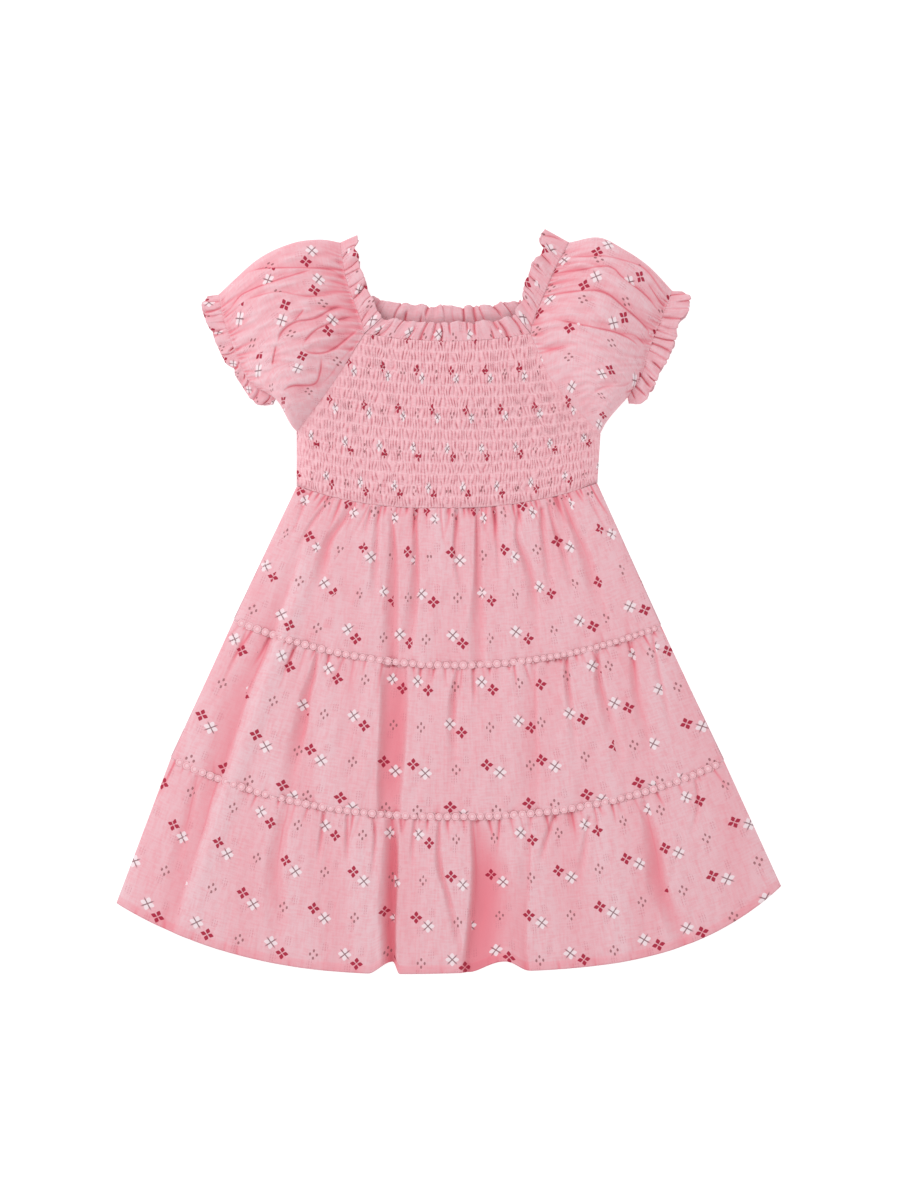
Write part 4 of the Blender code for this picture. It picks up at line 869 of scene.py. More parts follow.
class Skin:
    """Points, faces and the cloth's map of one piece, gathered from grids."""

    def __init__(self):
        # hollows keeps the painted shade of each point
        self.points, self.uvs, self.hollows = [], [], []
        self.faces, self.corners = [], []
        self.count = 0

    def grid(self, x, y, z, u, v, painted_shade, period=None, flip=False, jump=None):
        """A grid of rows that run down and columns that run across, closed to a ring
        where period is its turn in u. jump is added to the u of a whole quad, for the
        print that is out of sight in a fold. Returns the points' numbers."""
        x, y, z, u, v, painted_shade = np.broadcast_arrays(x, y, z, u, v, painted_shade)
        rows, columns = x.shape
        numbers = self.count + np.arange(rows * columns).reshape(rows, columns)
        self.points.append(np.stack([x, y, z], -1).reshape(-1, 3))
        self.uvs.append(np.stack([u, v], -1).reshape(-1, 2))
        self.hollows.append(painted_shade.reshape(-1))
        self.count += rows * columns
        wide, wide_u, wide_v = numbers, u, v
        if period is not None:
            wide = np.hstack([numbers, numbers[:, :1]])
            wide_u = np.hstack([u, u[:, :1] + period])
            wide_v = np.hstack([v, v[:, :1]])
        quads = quad_corners(wide)
        quad_uv = np.stack([quad_corners(wide_u), quad_corners(wide_v)], -1)
        if jump is not None:
            quad_uv[..., 0] += np.reshape(jump, (-1, 1))
        if flip:
            quads, quad_uv = quads[:, ::-1], quad_uv[:, ::-1]
        self.faces.extend(quads.tolist())
        self.corners.append(quad_uv.reshape(-1, 2))
        return numbers

    def loose(self, centre, axes, places, painted_shade, faces):
        """Points at places along three axes from a centre, with faces given by their
        numbers among these points."""
        a, b, c = places
        uvs = np.stack([a + centre[0], b + centre[1]], -1)
        self.points.append(centre + a[:, None] * axes[0] + b[:, None] * axes[1] + c[:, None] * axes[2])
        self.uvs.append(uvs)
        self.hollows.append(painted_shade)
        self.faces.extend([tuple(self.count + int(n) for n in face) for face in faces])
        self.corners.extend([uvs[list(face)] for face in faces])
        self.count += len(uvs)

    def bridge(self, first, second, flip=False):
        """Triangles between two lines of points whose counts differ. The winding faces
        out where the first line, seen from outside, is above the second."""
        a_at = np.linspace(0.0, 1.0, len(first))
        b_at = np.linspace(0.0, 1.0, len(second))
        i = j = 0
        made = []
        while i < len(first) - 1 or j < len(second) - 1:
            if j == len(second) - 1 or (i < len(first) - 1 and a_at[i + 1] <= b_at[j + 1]):
                made.append((first[i], second[j], first[i + 1]))
                i += 1
            else:
                made.append((first[i], second[j], second[j + 1]))
                j += 1
        if flip:
            made = [face[::-1] for face in made]
        uvs = np.vstack(self.uvs)
        self.faces.extend([tuple(int(n) for n in face) for face in made])
        self.corners.append(uvs[np.array(made).reshape(-1)])

    def add(self, node, kind, slot, thickness=0.0):
        """Makes the piece that stands for a node. Its material and its slot have the
        same name. With a thickness it is a sheet, and without one a closed solid."""
        name = f"{node}_{kind}"
        mesh = bpy.data.meshes.new(name)
        mesh.from_pydata((np.vstack(self.points) * MM).tolist(), [], self.faces)
        layer = mesh.uv_layers.new(name="cloth")
        layer.data.foreach_set("uv", (np.vstack(self.corners) / UV_UNIT).astype(np.float32).ravel())
        # each point's painted shade, kept between 0 and 2, for the materials
        attribute = mesh.attributes.new("painted_shade", "FLOAT", "POINT")
        painted_shade = np.clip(np.concatenate(self.hollows), 0.0, 2.0)
        attribute.data.foreach_set("value", painted_shade.astype(np.float32))
        if not thickness:
            closed = bmesh.new()
            closed.from_mesh(mesh)
            bmesh.ops.recalc_face_normals(closed, faces=closed.faces)
            closed.to_mesh(mesh)
            closed.free()
        mesh.materials.append(MATERIALS[slot])
        mesh.shade_smooth()
        piece = bpy.data.objects.new(name, mesh)
        bpy.context.scene.collection.objects.link(piece)
        if thickness:
            shell = piece.modifiers.new("cloth", "SOLIDIFY")
            shell.thickness = thickness * MM
            shell.offset = -1.0
        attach(piece, "root")
        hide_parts(node)
        return piece


def quad_middles(field):
    """The mean of a grid's field over each of its quads."""
    return (field[:-1, :-1] + field[1:, :-1] + field[:-1, 1:] + field[1:, 1:]) / 4.0


def edges_of(numbers, ring):
    """The four sides of a grid's points: top, bottom, left and right."""
    if ring:
        numbers = np.hstack([numbers, numbers[:, :1]])
    return numbers[0], numbers[-1], numbers[:, 0], numbers[:, -1]


def close_wall(skin, outer, inner, ring=False):
    """Joins the edges of an outer grid, wound to face out, to an inner one."""
    top, bottom, left, right = edges_of(outer, ring)
    inner_top, inner_bottom, inner_left, inner_right = edges_of(inner, ring)
    skin.bridge(inner_top, top)
    skin.bridge(bottom, inner_bottom)
    if not ring:
        skin.bridge(left, inner_left, flip=True)
        skin.bridge(right, inner_right)


# ---- skirt ----------------------------------------------------------------
def skirt_xy(across, down):
    """x and y of the skirt as it lies, before its hem is drawn up."""
    tier = np.clip(np.floor(down), 0, 2)
    x = np.zeros(np.broadcast(across, down).shape)
    y = np.zeros(x.shape)
    for number, (head, foot) in enumerate(zip(SKIRT_ARCS, SKIRT_ARCS[1:])):
        head_x, head_y = on_arc(head, across)
        foot_x, foot_y = on_arc(foot, across)
        here = tier == number
        x = np.where(here, mix(head_x, foot_x, down - number), x)
        y = np.where(here, mix(head_y, foot_y, down - number), y)
    return x, y


def hem_lift(x, down):
    """How far the lower tier is drawn up at a place."""
    rise = 0.0
    for lift in HEM_LIFTS:
        side = x - lift.x
        rise = rise + lift.rise * bell(side / np.where(side < 0, lift.left, lift.right))
    return rise * smooth(down - 2.0) ** 2


def fold_depth(x, y):
    """How far the folds take the skirt's front down at a place, in all, and how much of the painted shade
    line along a fold's deepest line it has."""
    total = np.zeros(np.shape(x))
    lines = np.zeros(np.shape(x))
    for flatness, knots in FOLDS:
        dense = curve_through(knots, 8)
        at = -dense[:, 1]
        inside = (-y >= at[0]) & (-y <= at[-1])
        centre, left, right, depth = (np.interp(-y, at, dense[:, k]) for k in (0, 2, 3, 4))
        side = x - centre
        deep = depth * bell(side / np.where(side < 0, left, right), flatness)
        total += np.where(inside, deep, 0.0)
        if flatness < 3:  # a flat bottom has no painted line
            shade_line = peak(side / FOLD_SHADE_LINE) * np.clip(depth / FOLD_SHADE_LINE_DEPTH, 0.0, 1.0)
            lines = np.maximum(lines, np.where(inside, shade_line, 0.0))
    return total, lines


def gather_depth(x, below, width, count, seed, more_reach=GATHER_MORE_REACH):
    """Short troughs that run down from a seam, uneven in length, depth and spacing.
    below is the distance down from the seam, and width the seam's own length. Returns their depth, their
    painted shade, and each trough's middle x."""
    chance = np.random.default_rng(seed)
    depth = np.zeros(np.shape(x))
    shade = np.zeros(np.shape(x))
    middles = []
    for number in range(count):
        start = (-0.5 + (number + 0.5 + 0.8 * (chance.random() - 0.5)) / count) * width
        reach = GATHER_REACH + more_reach * chance.random() ** 2.0
        half = mix(*GATHER_HALF, chance.random())
        deep = mix(*GATHER_DEPTH, chance.random() ** 1.4)
        lean = mix(-GATHER_LEAN, GATHER_LEAN, chance.random()) + GATHER_FAN * start / width
        bend = mix(-GATHER_BEND, GATHER_BEND, chance.random())
        middle = start + lean * below + bend * below**2
        side = x - middle
        spread = half * (1.0 + 0.8 * below / reach)
        fade = 1.0 - smooth(below / reach)
        depth += deep * peak(side / spread) * fade
        shade += deep * peak(side / (0.3 * spread + 0.2)) * fade
        middles.append(middle)
    return depth, shade, middles


def squeezed_print(x, middles, squeeze):
    """The jump in u of each quad where gathered cloth is out of sight in its troughs.
    The print is whole between two troughs, and squeeze is the share that is hidden."""
    quad_x = quad_middles(x)
    jump = np.zeros_like(quad_x)
    lines = np.sort(np.stack([middle[:-1, 0] for middle in middles], -1), axis=1)
    beyond = 6.0  # the first and the last trough
    for row, line in enumerate(lines):
        bounds = np.concatenate([[line[0] - beyond], line, [line[-1] + beyond]])
        place = np.clip(np.searchsorted(bounds, quad_x[row]) - 1, 0, len(bounds) - 2)
        jump[row] = 0.5 * (bounds[place] + bounds[place + 1])
    return jump * quad_middles(squeeze)


def print_place(side, below, pair_side, pair_down, pair_row):
    """Where cloth lies in the print. A pair of the print's row pair_row, from 0 to 3, is
    in the middle at pair_side and pair_down."""
    half_repeat = REPEAT / 2.0 if pair_row % 2 == 0 else 0.0
    u = side - pair_side + half_repeat
    v = pair_down - below + (pair_row + 0.5) * ROW_PITCH
    return u, v


def lowest_near(z, step):
    """The lowest of the rows within a step of each row, but for the first and the last.
    An inner face with few rows stays under it."""
    near = np.pad(z, ((step, step), (0, 0)), mode="edge")
    lowest = np.minimum.reduce([near[k : k + len(z)] for k in range(2 * step + 1)])
    lowest[0] = z[0]
    lowest[-1] = z[-1]
    return lowest


def tier_print(number, across, share, x, below, middles):
    """Where the cloth of a tier's front lies in the print, and the jump in u of each of
    its quads, at its gathers and its tucks."""
    tier, tucks = TIERS[number], TUCKS[number]
    head, foot = SKIRT_ARCS[number : number + 2]
    seam_width = arc_width(head)
    at_head = on_arc(head, across)[0] + 0.0 * below
    shown = tier.cut - sum(tuck.hidden for tuck in tucks)
    # a tier gets wider downwards, so that its gathers hide the most print at the top
    width = mix(1.0, arc_width(foot) / seam_width, share)
    squeeze = np.clip(shown / seam_width - width, 0.0, None) + 0.0 * at_head
    jump = squeezed_print(at_head, middles, squeeze)
    quad_x, quad_share = quad_middles(x), (share[1:] + share[:-1]) / 2.0
    for tuck in tucks:
        edge = mix(tuck.top_x, tuck.foot_x, quad_share)
        jump += tuck.hidden * np.where(quad_x > edge, 0.5, -0.5)
    side = across * shown / 2.0 - squeeze * at_head
    u, v = print_place(side, below, tier.pair_side, tier.pair_down, tier.pair_row)
    return u, v, jump


def skirt_front(number):
    """A tier's front: a closed shell with the folds, gathers and wrinkles outside."""
    tier = TIERS[number]
    across = np.linspace(-1.0, 1.0, tier.columns + 1)[None, :]
    share = np.linspace(0.0, 1.0, tier.rows + 1)[:, None]
    down = number + mix(*ROW_SPAN, share)
    x, y = skirt_xy(across, down)
    head, foot = SKIRT_ARCS[number : number + 2]
    head_x, head_y = on_arc(head, across)
    foot_x, foot_y = on_arc(foot, across)
    length = np.hypot(foot_x - head_x, foot_y - head_y)
    below = share * length
    above = (1.0 - share) * length
    folds, lines = fold_depth(x, y)
    at_head = head_x + 0.0 * below
    width, count, seed = arc_width(head), tier.gathers, tier.seed
    gathers, gather_shade, middles = gather_depth(at_head, below, width, count, seed)
    from_foot = gather_depth(at_head, above, width, count // 2, seed + 1, LOWER_MORE_REACH)
    gathers += 0.35 * from_foot[0]
    gather_shade += 0.3 * from_foot[1]
    gathers *= mix(0.55, 1.0, smooth(below / 3.0))  # they start shallow
    waves = ripples(x, y, seed + 2, 9, (22.0, 62.0), (160.0, 500.0))
    wrinkles = ripples(x, y, seed + 3, 14, (7.0, 20.0), (18.0, 70.0))
    stand = from_table(SKIRT_PUFF, down) - folds - gathers
    stand = stand + WAVE_HEIGHT * waves + WRINKLE_HEIGHT * wrinkles
    stand -= SEAM_DIPS[number] * peak(below / SEAM_DIP_WIDTH)
    # painted shade: deeper in the folds, in a line along each fold's bottom near the top seam, and in the
    # gathers; lighter on the crests of the broad waves and deeper in their troughs
    shade = FLAT_SHADE + folds / FOLD_SHADE_DEPTH + 0.42 * lines * (1.0 - smooth(share / 0.7))
    shade += 0.15 * np.clip(gathers, 0.0, 1.6) + 0.6 * np.clip(gather_shade, 0.0, 2.2) - 0.09 * waves
    if number < 2:
        stand -= SEAM_DIPS[number + 1] * peak(above / SEAM_DIP_WIDTH)
    else:
        doubled = smooth((HEM_BAND - above) / 0.8)
        stand += HEM_BAND_RISE * doubled - 0.3 * peak((above - HEM_BAND - 0.8) / 0.9)
        # the doubled hem band and the line at its top are painted deeper
        shade += 0.28 * doubled + 0.2 * peak((above - HEM_BAND) / 0.5)
    z = SIDE_TOP + np.maximum(stand, LEAST_STAND) * (1.0 - np.abs(across) ** EDGE_POWER)
    z -= (SIDE_TOP - BACK_TOP + 0.1) * np.abs(across) ** 60  # down to the back at the side seams
    u, v, jump = tier_print(number, across, share, x, below, middles)
    y = y + hem_lift(x, down)
    skin = Skin()
    outer = skin.grid(x, y, z, u, v, shade, jump=jump)
    step = tier.rows // INNER_ROWS
    some = slice(None, None, step)
    floor = lowest_near(z, step)[some] - CLOTH
    inner = skin.grid(x[some], y[some], floor, u[some], v[some], FLAT_SHADE, flip=True)
    close_wall(skin, outer, inner)
    return skin.add(f"skirt_{tier.name}_front", "cloth", "cotton_dobby")


def back_row(down, across):
    """x and y across the skirt's back."""
    x, y = skirt_xy(across, down)
    return x, y + BACK_HEM_RISE * smooth(down - 2.0) * (1.0 - np.abs(across) ** 3)


def flat_panel(skin, x, y, u, v, relief, painted_shade):
    """A back panel: its outer face lies on the surface, with hollows up into it, and its
    inner face is plain."""
    outer = skin.grid(x, y, relief, u, v, painted_shade, flip=True)
    rows, columns = x.shape
    some = np.ix_(
        np.unique(np.linspace(0, rows - 1, max(2, rows // 6)).astype(int)),
        np.unique(np.linspace(0, columns - 1, max(2, columns // 8)).astype(int)),
    )
    inner = skin.grid(x[some], y[some], BACK_TOP, u[some], v[some], 0.0)
    close_wall(skin, inner, outer)


def skirt_back(number):
    """A tier's back leaves room for the trims at the seams."""
    tier = TIERS[number]
    columns, rows = 150, 30
    across = np.linspace(-1.0, 1.0, columns + 1)[None, :]
    share = np.linspace(0.0, 1.0, rows + 1)[:, None]
    head_x, head_y = back_row(number + 1e-6, across)
    foot_x, foot_y = back_row(number + 1.0 - 1e-6, across)
    x = mix(head_x, foot_x, share)
    y = mix(head_y - (TRIM_ROOM if number else 0.1), foot_y + (TRIM_ROOM if number < 2 else 0.0), share)
    length = head_y - foot_y
    below = share * length
    width = arc_width(SKIRT_ARCS[number])
    gathers = gather_depth(head_x + 0.0 * below, below, width, tier.gathers, tier.seed + 40)[0]
    waves = ripples(x, y, tier.seed + 41, 8, (18.0, 50.0), (120.0, 400.0))
    # painted shade in the gathers, lighter on the waves' crests
    painted_shade = 0.4 * np.clip(gathers, 0.0, 1.6) + FLAT_SHADE - 0.08 * waves
    edge = 1.0
    if number == 2:
        edge = inwards(share, 6.0)
        # the doubled hem band is painted deeper
        painted_shade += 0.42 * smooth((HEM_BAND - (1.0 - share) * length) / 0.8)
    relief = np.clip(0.3 * gathers + 0.35 * np.clip(waves, 0.0, 1.0) * edge, 0.0, BACK_RELIEF)
    relief *= 1.0 - np.abs(across) ** 40
    u = -across * tier.cut / 2.0 + REPEAT / 3.0 + 0.0 * below
    skin = Skin()
    flat_panel(skin, x, y, u, -below, relief, painted_shade)
    return skin.add(f"skirt_{tier.name}_back", "cloth", "cotton_dobby")


# ---- trim -----------------------------------------------------------------
def add_loop(skin, centre, axes):
    """A small closed ring of cord."""
    ring = np.linspace(0.0, 2.0 * math.pi, LOOP_TURNS, endpoint=False)[:, None]
    cord = np.linspace(0.0, 2.0 * math.pi, LOOP_CORD_SIDES, endpoint=False)
    out = LOOP_RADIUS + LOOP_CORD * np.cos(cord)
    up = np.tile(LOOP_CORD * np.sin(cord), LOOP_TURNS)
    places = ((out * np.cos(ring)).ravel(), (out * np.sin(ring)).ravel(), up)
    here = np.arange(up.size).reshape(LOOP_TURNS, LOOP_CORD_SIDES)
    ahead = np.roll(here, -1, axis=0)
    quads = np.stack([here, ahead, np.roll(ahead, -1, axis=1), np.roll(here, -1, axis=1)], -1)
    skin.loose(centre, axes, places, np.full(up.size, LOOP_SHADE), quads.reshape(-1, 4))


def add_bead(skin, centre, axes, radius):
    """A small flower worked in thread: lobes round a raised middle."""
    turn = np.linspace(0.0, 2.0 * math.pi, BEAD_SIDES, endpoint=False)
    lobes = 1.0 + LOBE_DEPTH * np.cos(BEAD_LOBES * turn)
    out, up, shade = np.array(BEAD_RINGS).T[:, :, None]
    a = np.append(out * radius * lobes * np.cos(turn), 0.0)
    b = np.append(out * radius * lobes * np.sin(turn), 0.0)
    c = np.append(np.repeat(up, BEAD_SIDES), 1.0) * PICOT_HEIGHT
    here = np.arange(len(BEAD_RINGS) * BEAD_SIDES).reshape(-1, BEAD_SIDES)
    after = np.roll(here, -1, axis=1)
    walls = np.stack([here[:-1], after[:-1], after[1:], here[1:]], -1).reshape(-1, 4)
    tip = [(first, second, here.size) for first, second in zip(here[-1], after[-1])]
    # painted shade, deepest at the foot
    painted_shade = np.append(np.repeat(shade, BEAD_SIDES), 0.0)
    skin.loose(centre, axes, (a, b, c), painted_shade, [*walls, *tip, here[0, ::-1]])


def add_picots(skin, places, heights, facing, bunching):
    """Flower beads in a row with small loops of thread between them. facing is 1 for a
    row that faces up, and -1 for one that faces down."""
    steps = np.hypot(*np.diff(places, axis=0).T)
    lengths = np.concatenate([[0.0], np.cumsum(steps)])
    closer = 1.0 - bunching * smooth((lengths / lengths[-1] - BUNCHING_START) / BUNCHING_EASE)
    beads = np.concatenate([[0.0], np.cumsum(steps / PICOT_PITCH / closer[1:])])
    count = int(beads[-1])
    chance = np.random.default_rng(PICOT_SEED)
    for here in np.interp((np.arange(count) + 0.5) * beads[-1] / count, beads, lengths):
        size = np.interp(here, lengths, closer)
        jitter = 0.25 * (chance.random() - 0.5)
        centre = np.array([np.interp(here + jitter, lengths, way) for way in (*places.T, heights)])
        before, after = (
            [np.interp(here + step, lengths, way) for way in places.T] for step in (-0.5, 0.5)
        )
        angle = math.atan2(after[1] - before[1], after[0] - before[0]) + 0.3 * (chance.random() - 0.5)
        along_row = np.array([math.cos(angle), math.sin(angle), 0.0])
        side = np.array([-math.sin(angle), math.cos(angle), 0.0])
        axes = (along_row, side * facing, np.array([0.0, 0.0, facing]))
        add_bead(skin, centre, axes, PICOT_RADIUS * (mix(0.86, 1.06, chance.random()) * size))
        for way in (-LOOP_SIDE, LOOP_SIDE):
            add_loop(skin, centre + 0.5 * PICOT_PITCH * size * along_row + way * side, axes)


def add_tape(skin, places, heights, facing, tape):
    """The narrow tape that the beads are worked on."""
    width, thickness = tape
    run = np.gradient(places, axis=0)
    side = np.stack([-run[:, 1], run[:, 0]], -1) / np.hypot(*run.T)[:, None]
    x, y = np.moveaxis(np.stack([places + off * width * side for off in (0.5, -0.5)]), -1, 0)
    outer = skin.grid(x, y, heights, x, y, TAPE_SHADE, flip=facing < 0)
    inner = skin.grid(x, y, heights - facing * thickness, x, y, TAPE_SHADE, flip=facing > 0)
    if facing > 0:
        close_wall(skin, outer, inner)
    else:
        close_wall(skin, inner, outer)


def front_trim(seam, node):
    """The trim over a front seam, a little smoother than the cloth under it."""
    across = np.linspace(-1.0, 1.0, FRONT_TRIM_POINTS)
    places = np.stack(on_arc(SKIRT_ARCS[seam], across), -1)
    stand = from_table(SKIRT_PUFF, np.full(across.shape, float(seam))) - 0.9 * fold_depth(*places.T)[0]
    stand = np.maximum(stand, 0.3) * (1.0 - np.abs(across) ** EDGE_POWER)
    height = np.convolve(np.pad(SIDE_TOP + stand - 0.1, 4, mode="edge"), np.ones(9) / 9.0, "valid")
    places, height = places[3:-3], height[3:-3]
    skin = Skin()
    add_tape(skin, places, height - 0.1, 1.0, FRONT_TAPE)
    add_picots(skin, places, height + 0.1, 1.0, PICOT_BUNCHING[seam])
    return skin.add(node, "picots", "picot_trim")


def back_trim(seam, node):
    """The trim between two back tiers, with its beads down."""
    across = np.linspace(-1.0, 1.0, BACK_TRIM_POINTS)
    places = np.stack(back_row(np.full(across.shape, seam - 1e-6), across), -1)[2:-2]
    flat = np.full(len(places), BACK_TRIM_HEIGHT)
    skin = Skin()
    add_tape(skin, places, flat, -1.0, BACK_TAPE)
    add_picots(skin, places, flat - 0.1, -1.0, 0.0)
    return skin.add(node, "picots", "picot_trim")


# ---- bodice ---------------------------------------------------------------
def bodice_end(cut, side, share):
    """Where bodice rows end, beside the sleeve or at the side seam."""
    raglan = curve_through(cut.raglan)
    on_raglan = along(raglan, np.minimum(share / UNDERARM_SHARE, 1.0))
    waist = np.array((WAIST.left_x, WAIST.left_y) if side < 0 else (WAIST.right_x, WAIST.right_y))
    part = np.clip((share - UNDERARM_SHARE) / (1.0 - UNDERARM_SHARE), 0.0, 1.0)[..., None]
    ends = np.where(share[..., None] <= UNDERARM_SHARE, on_raglan, mix(raglan[-1], waist, part))
    return ends[..., 0] + side * 0.25, ends[..., 1]


def bodice_arc(share):
    left_x, left_y = bodice_end(LEFT_SLEEVE, -1, share)
    right_x, right_y = bodice_end(RIGHT_SLEEVE, 1, share)
    middle = mix(NECK_LINE.middle_y, WAIST.middle_y, share)
    power = mix(NECK_LINE.power_left, WAIST.power_left, share)
    return Arc(left_x, left_y, right_x, right_y, middle, power, power)


def puckers(x, share, seed):
    """The shirring's relief from 0 to 1, its painted shade, and the number of puckers from the middle.
    Rounded puckers stand between the elastic lines, a little out of step from one channel to the next."""
    share = share + 0.0 * x
    channel = np.clip(np.floor(share * SHIRRED_CHANNELS), 0, SHIRRED_CHANNELS - 1)
    part = share * SHIRRED_CHANNELS - channel
    chance = np.random.default_rng(seed)
    offsets = chance.random(SHIRRED_CHANNELS)[channel.astype(int)]
    down = share * SHIRRED_CHANNELS * 8.0
    # the puckers wander, step aside from one channel to the next, and bow in a channel
    drift = 0.3 * ripples(x, down, seed + 1, 12, (6.0, 22.0), (12.0, 34.0))
    step = 0.4 * ripples(x, offsets * 60.0, seed + 2, 8, (8.0, 30.0), (30.0, 90.0))
    bow = 0.14 * np.sin(np.pi * part) * ripples(x, offsets * 40.0, seed + 4, 6, (30.0, 90.0), (20.0, 60.0))
    turns = x / PUCKER_PITCH + drift + step + bow + 0.4 * offsets
    crest = np.abs(np.sin(np.pi * turns))
    bulk = np.clip(0.62 + 0.5 * ripples(x, down, seed + 3, 12, (3.0, 12.0), (6.0, 14.0)), 0.15, 1.0)
    middle = np.sin(np.pi * np.clip(part, 0.0, 1.0)) ** 0.8
    valley = (1.0 - crest) ** 1.6 * smooth((middle - 0.12) / 0.5) * bulk
    relief = 0.45 + 0.5 * middle * crest**0.8 * mix(0.6, 1.0, bulk) - 0.55 * valley
    # painted shade in the valleys between the puckers, a little lighter at the elastic lines
    painted_shade = 0.1 + 0.8 * (1.0 - crest) ** 2.6 * smooth((middle - 0.02) / 0.5) * bulk - 0.1 * (1.0 - middle)
    return relief, painted_shade, turns


def sleeve_dome(across):
    """The section of a sleeve's front, from 0 at its two folds to 1."""
    power = SLEEVE_ROUNDNESS
    return np.clip(1.0 - np.abs(2.0 * across - 1.0) ** power, 0.0, 1.0) ** (1.0 / power)


def bodice_edge_height(share):
    """How high the bodice's edge is: at the sleeve's edge, and then at the back's."""
    on_sleeve = np.clip(share / UNDERARM_SHARE, 0.0, 1.0)
    across = mix(NECK_SHARE, 1.0, on_sleeve)
    height = mix(SLEEVE_FOLD, SLEEVE_END, sleeve_dome(across)) - 0.25
    return mix(height, BACK_TOP, smooth((share - UNDERARM_SHARE) / 0.03))


def bodice_height(across, share):
    """The smooth form under the shirring."""
    side_seam = smooth((share - 0.42) / 0.28)
    return SIDE_TOP + BODICE_PUFF * (1.0 - side_seam * np.abs(across) ** 6)


def bodice_front():
    """The shirred front, whose edges go down to the sleeves and to the back."""
    rows = SHIRRED_CHANNELS * CHANNEL_ROWS
    across = np.linspace(-1.0, 1.0, BODICE_COLUMNS + 1)[None, :]
    share = np.linspace(*BODICE_SPAN, rows + 1)[:, None]
    x, y = on_arc(bodice_arc(share), across)
    relief, painted_shade, turns = puckers(x, share, BODICE_SEED)
    roll = np.abs(across) ** 26
    soft = ripples(x, y, BODICE_SEED + 4, 8, (30.0, 90.0), (30.0, 90.0))
    z = bodice_height(across, share) + 0.3 * soft * (1.0 - roll) + CHANNEL_HEIGHT * relief * (1.0 - roll)
    z = mix(z, bodice_edge_height(share), roll) - EDGE_DROP * peak((1.0 - share) * 45.0)
    pair_x, pair_down = BODICE_PAIR
    below = share * BODICE_LENGTH
    hidden = (SHIRRING - SHIRRING_SHOWN) * PUCKER_PITCH
    side = (x + PRINT_LEAN * (below - pair_down)) * SHIRRING - hidden * turns
    pair_side = pair_x * SHIRRING - 0.5 * hidden
    u, v = print_place(side, PRINT_STRETCH * below, pair_side, PRINT_STRETCH * pair_down, 1)
    skin = Skin()
    outer = skin.grid(x, y, z, u, v, painted_shade, jump=hidden * np.floor(quad_middles(turns)))
    inner_across = np.linspace(-1.0, 1.0, 25)[None, :]
    inner_share = np.linspace(*ROW_SPAN, 16)[:, None]
    inner_x, inner_y = on_arc(bodice_arc(inner_share), inner_across)
    inner_z = bodice_height(inner_across, inner_share) - 2.0 * CLOTH
    inner_z = mix(inner_z, bodice_edge_height(inner_share) - CLOTH, np.abs(inner_across) ** 12)
    # the inner face has an even painted shade
    inner = skin.grid(inner_x, inner_y, inner_z, inner_x, inner_y, 0.5, flip=True)
    close_wall(skin, outer, inner)
    return skin.add("bodice_front", "shirring", "shirred_cotton")


def bodice_back():
    """The back's shirring lies on the surface, so that its puckers are pressed flat."""
    columns, rows = 250, 75
    across = np.linspace(-1.0, 1.0, columns + 1)[None, :]
    share = np.linspace(0.0, 0.9995, rows + 1)[:, None]
    x, y = on_arc(bodice_arc(share), across)
    top_x, top_y = on_arc(BACK_NECK_LINE, across)
    raise_to_neck = bell(np.clip(share / 0.14, 0.0, 1.0))
    x = mix(x, top_x, raise_to_neck)
    y = mix(y, top_y, raise_to_neck)
    relief, painted_shade, _ = puckers(x, share, BACK_BODICE_SEED)
    low = np.clip(BACK_RELIEF * (1.0 - relief), 0.0, BACK_RELIEF) * (1.0 - np.abs(across) ** 40)
    u = -x * SHIRRING + REPEAT / 3.0
    v = (1.0 - share) * BACK_BODICE_LENGTH + 3.0 * ROW_PITCH + 0.0 * x
    skin = Skin()
    flat_panel(skin, x, y, u, v, low, painted_shade)
    return skin.add("bodice_back", "shirring", "shirred_cotton")


# ---- sleeves --------------------------------------------------------------
def on_cloth(x, y, z):
    """How far a grid's places are along the cloth from its first column and from its
    last row."""
    run = np.sqrt(sum(np.diff(a, axis=1) ** 2 for a in (x, y, z)))
    rise = np.sqrt(sum(np.diff(a, axis=0) ** 2 for a in (x, y, z)))
    from_side = np.pad(np.cumsum(run, axis=1), ((0, 0), (1, 0)))
    from_end = np.pad(np.cumsum(rise[::-1], axis=0)[::-1], ((0, 1), (0, 0)))
    return from_side, from_end


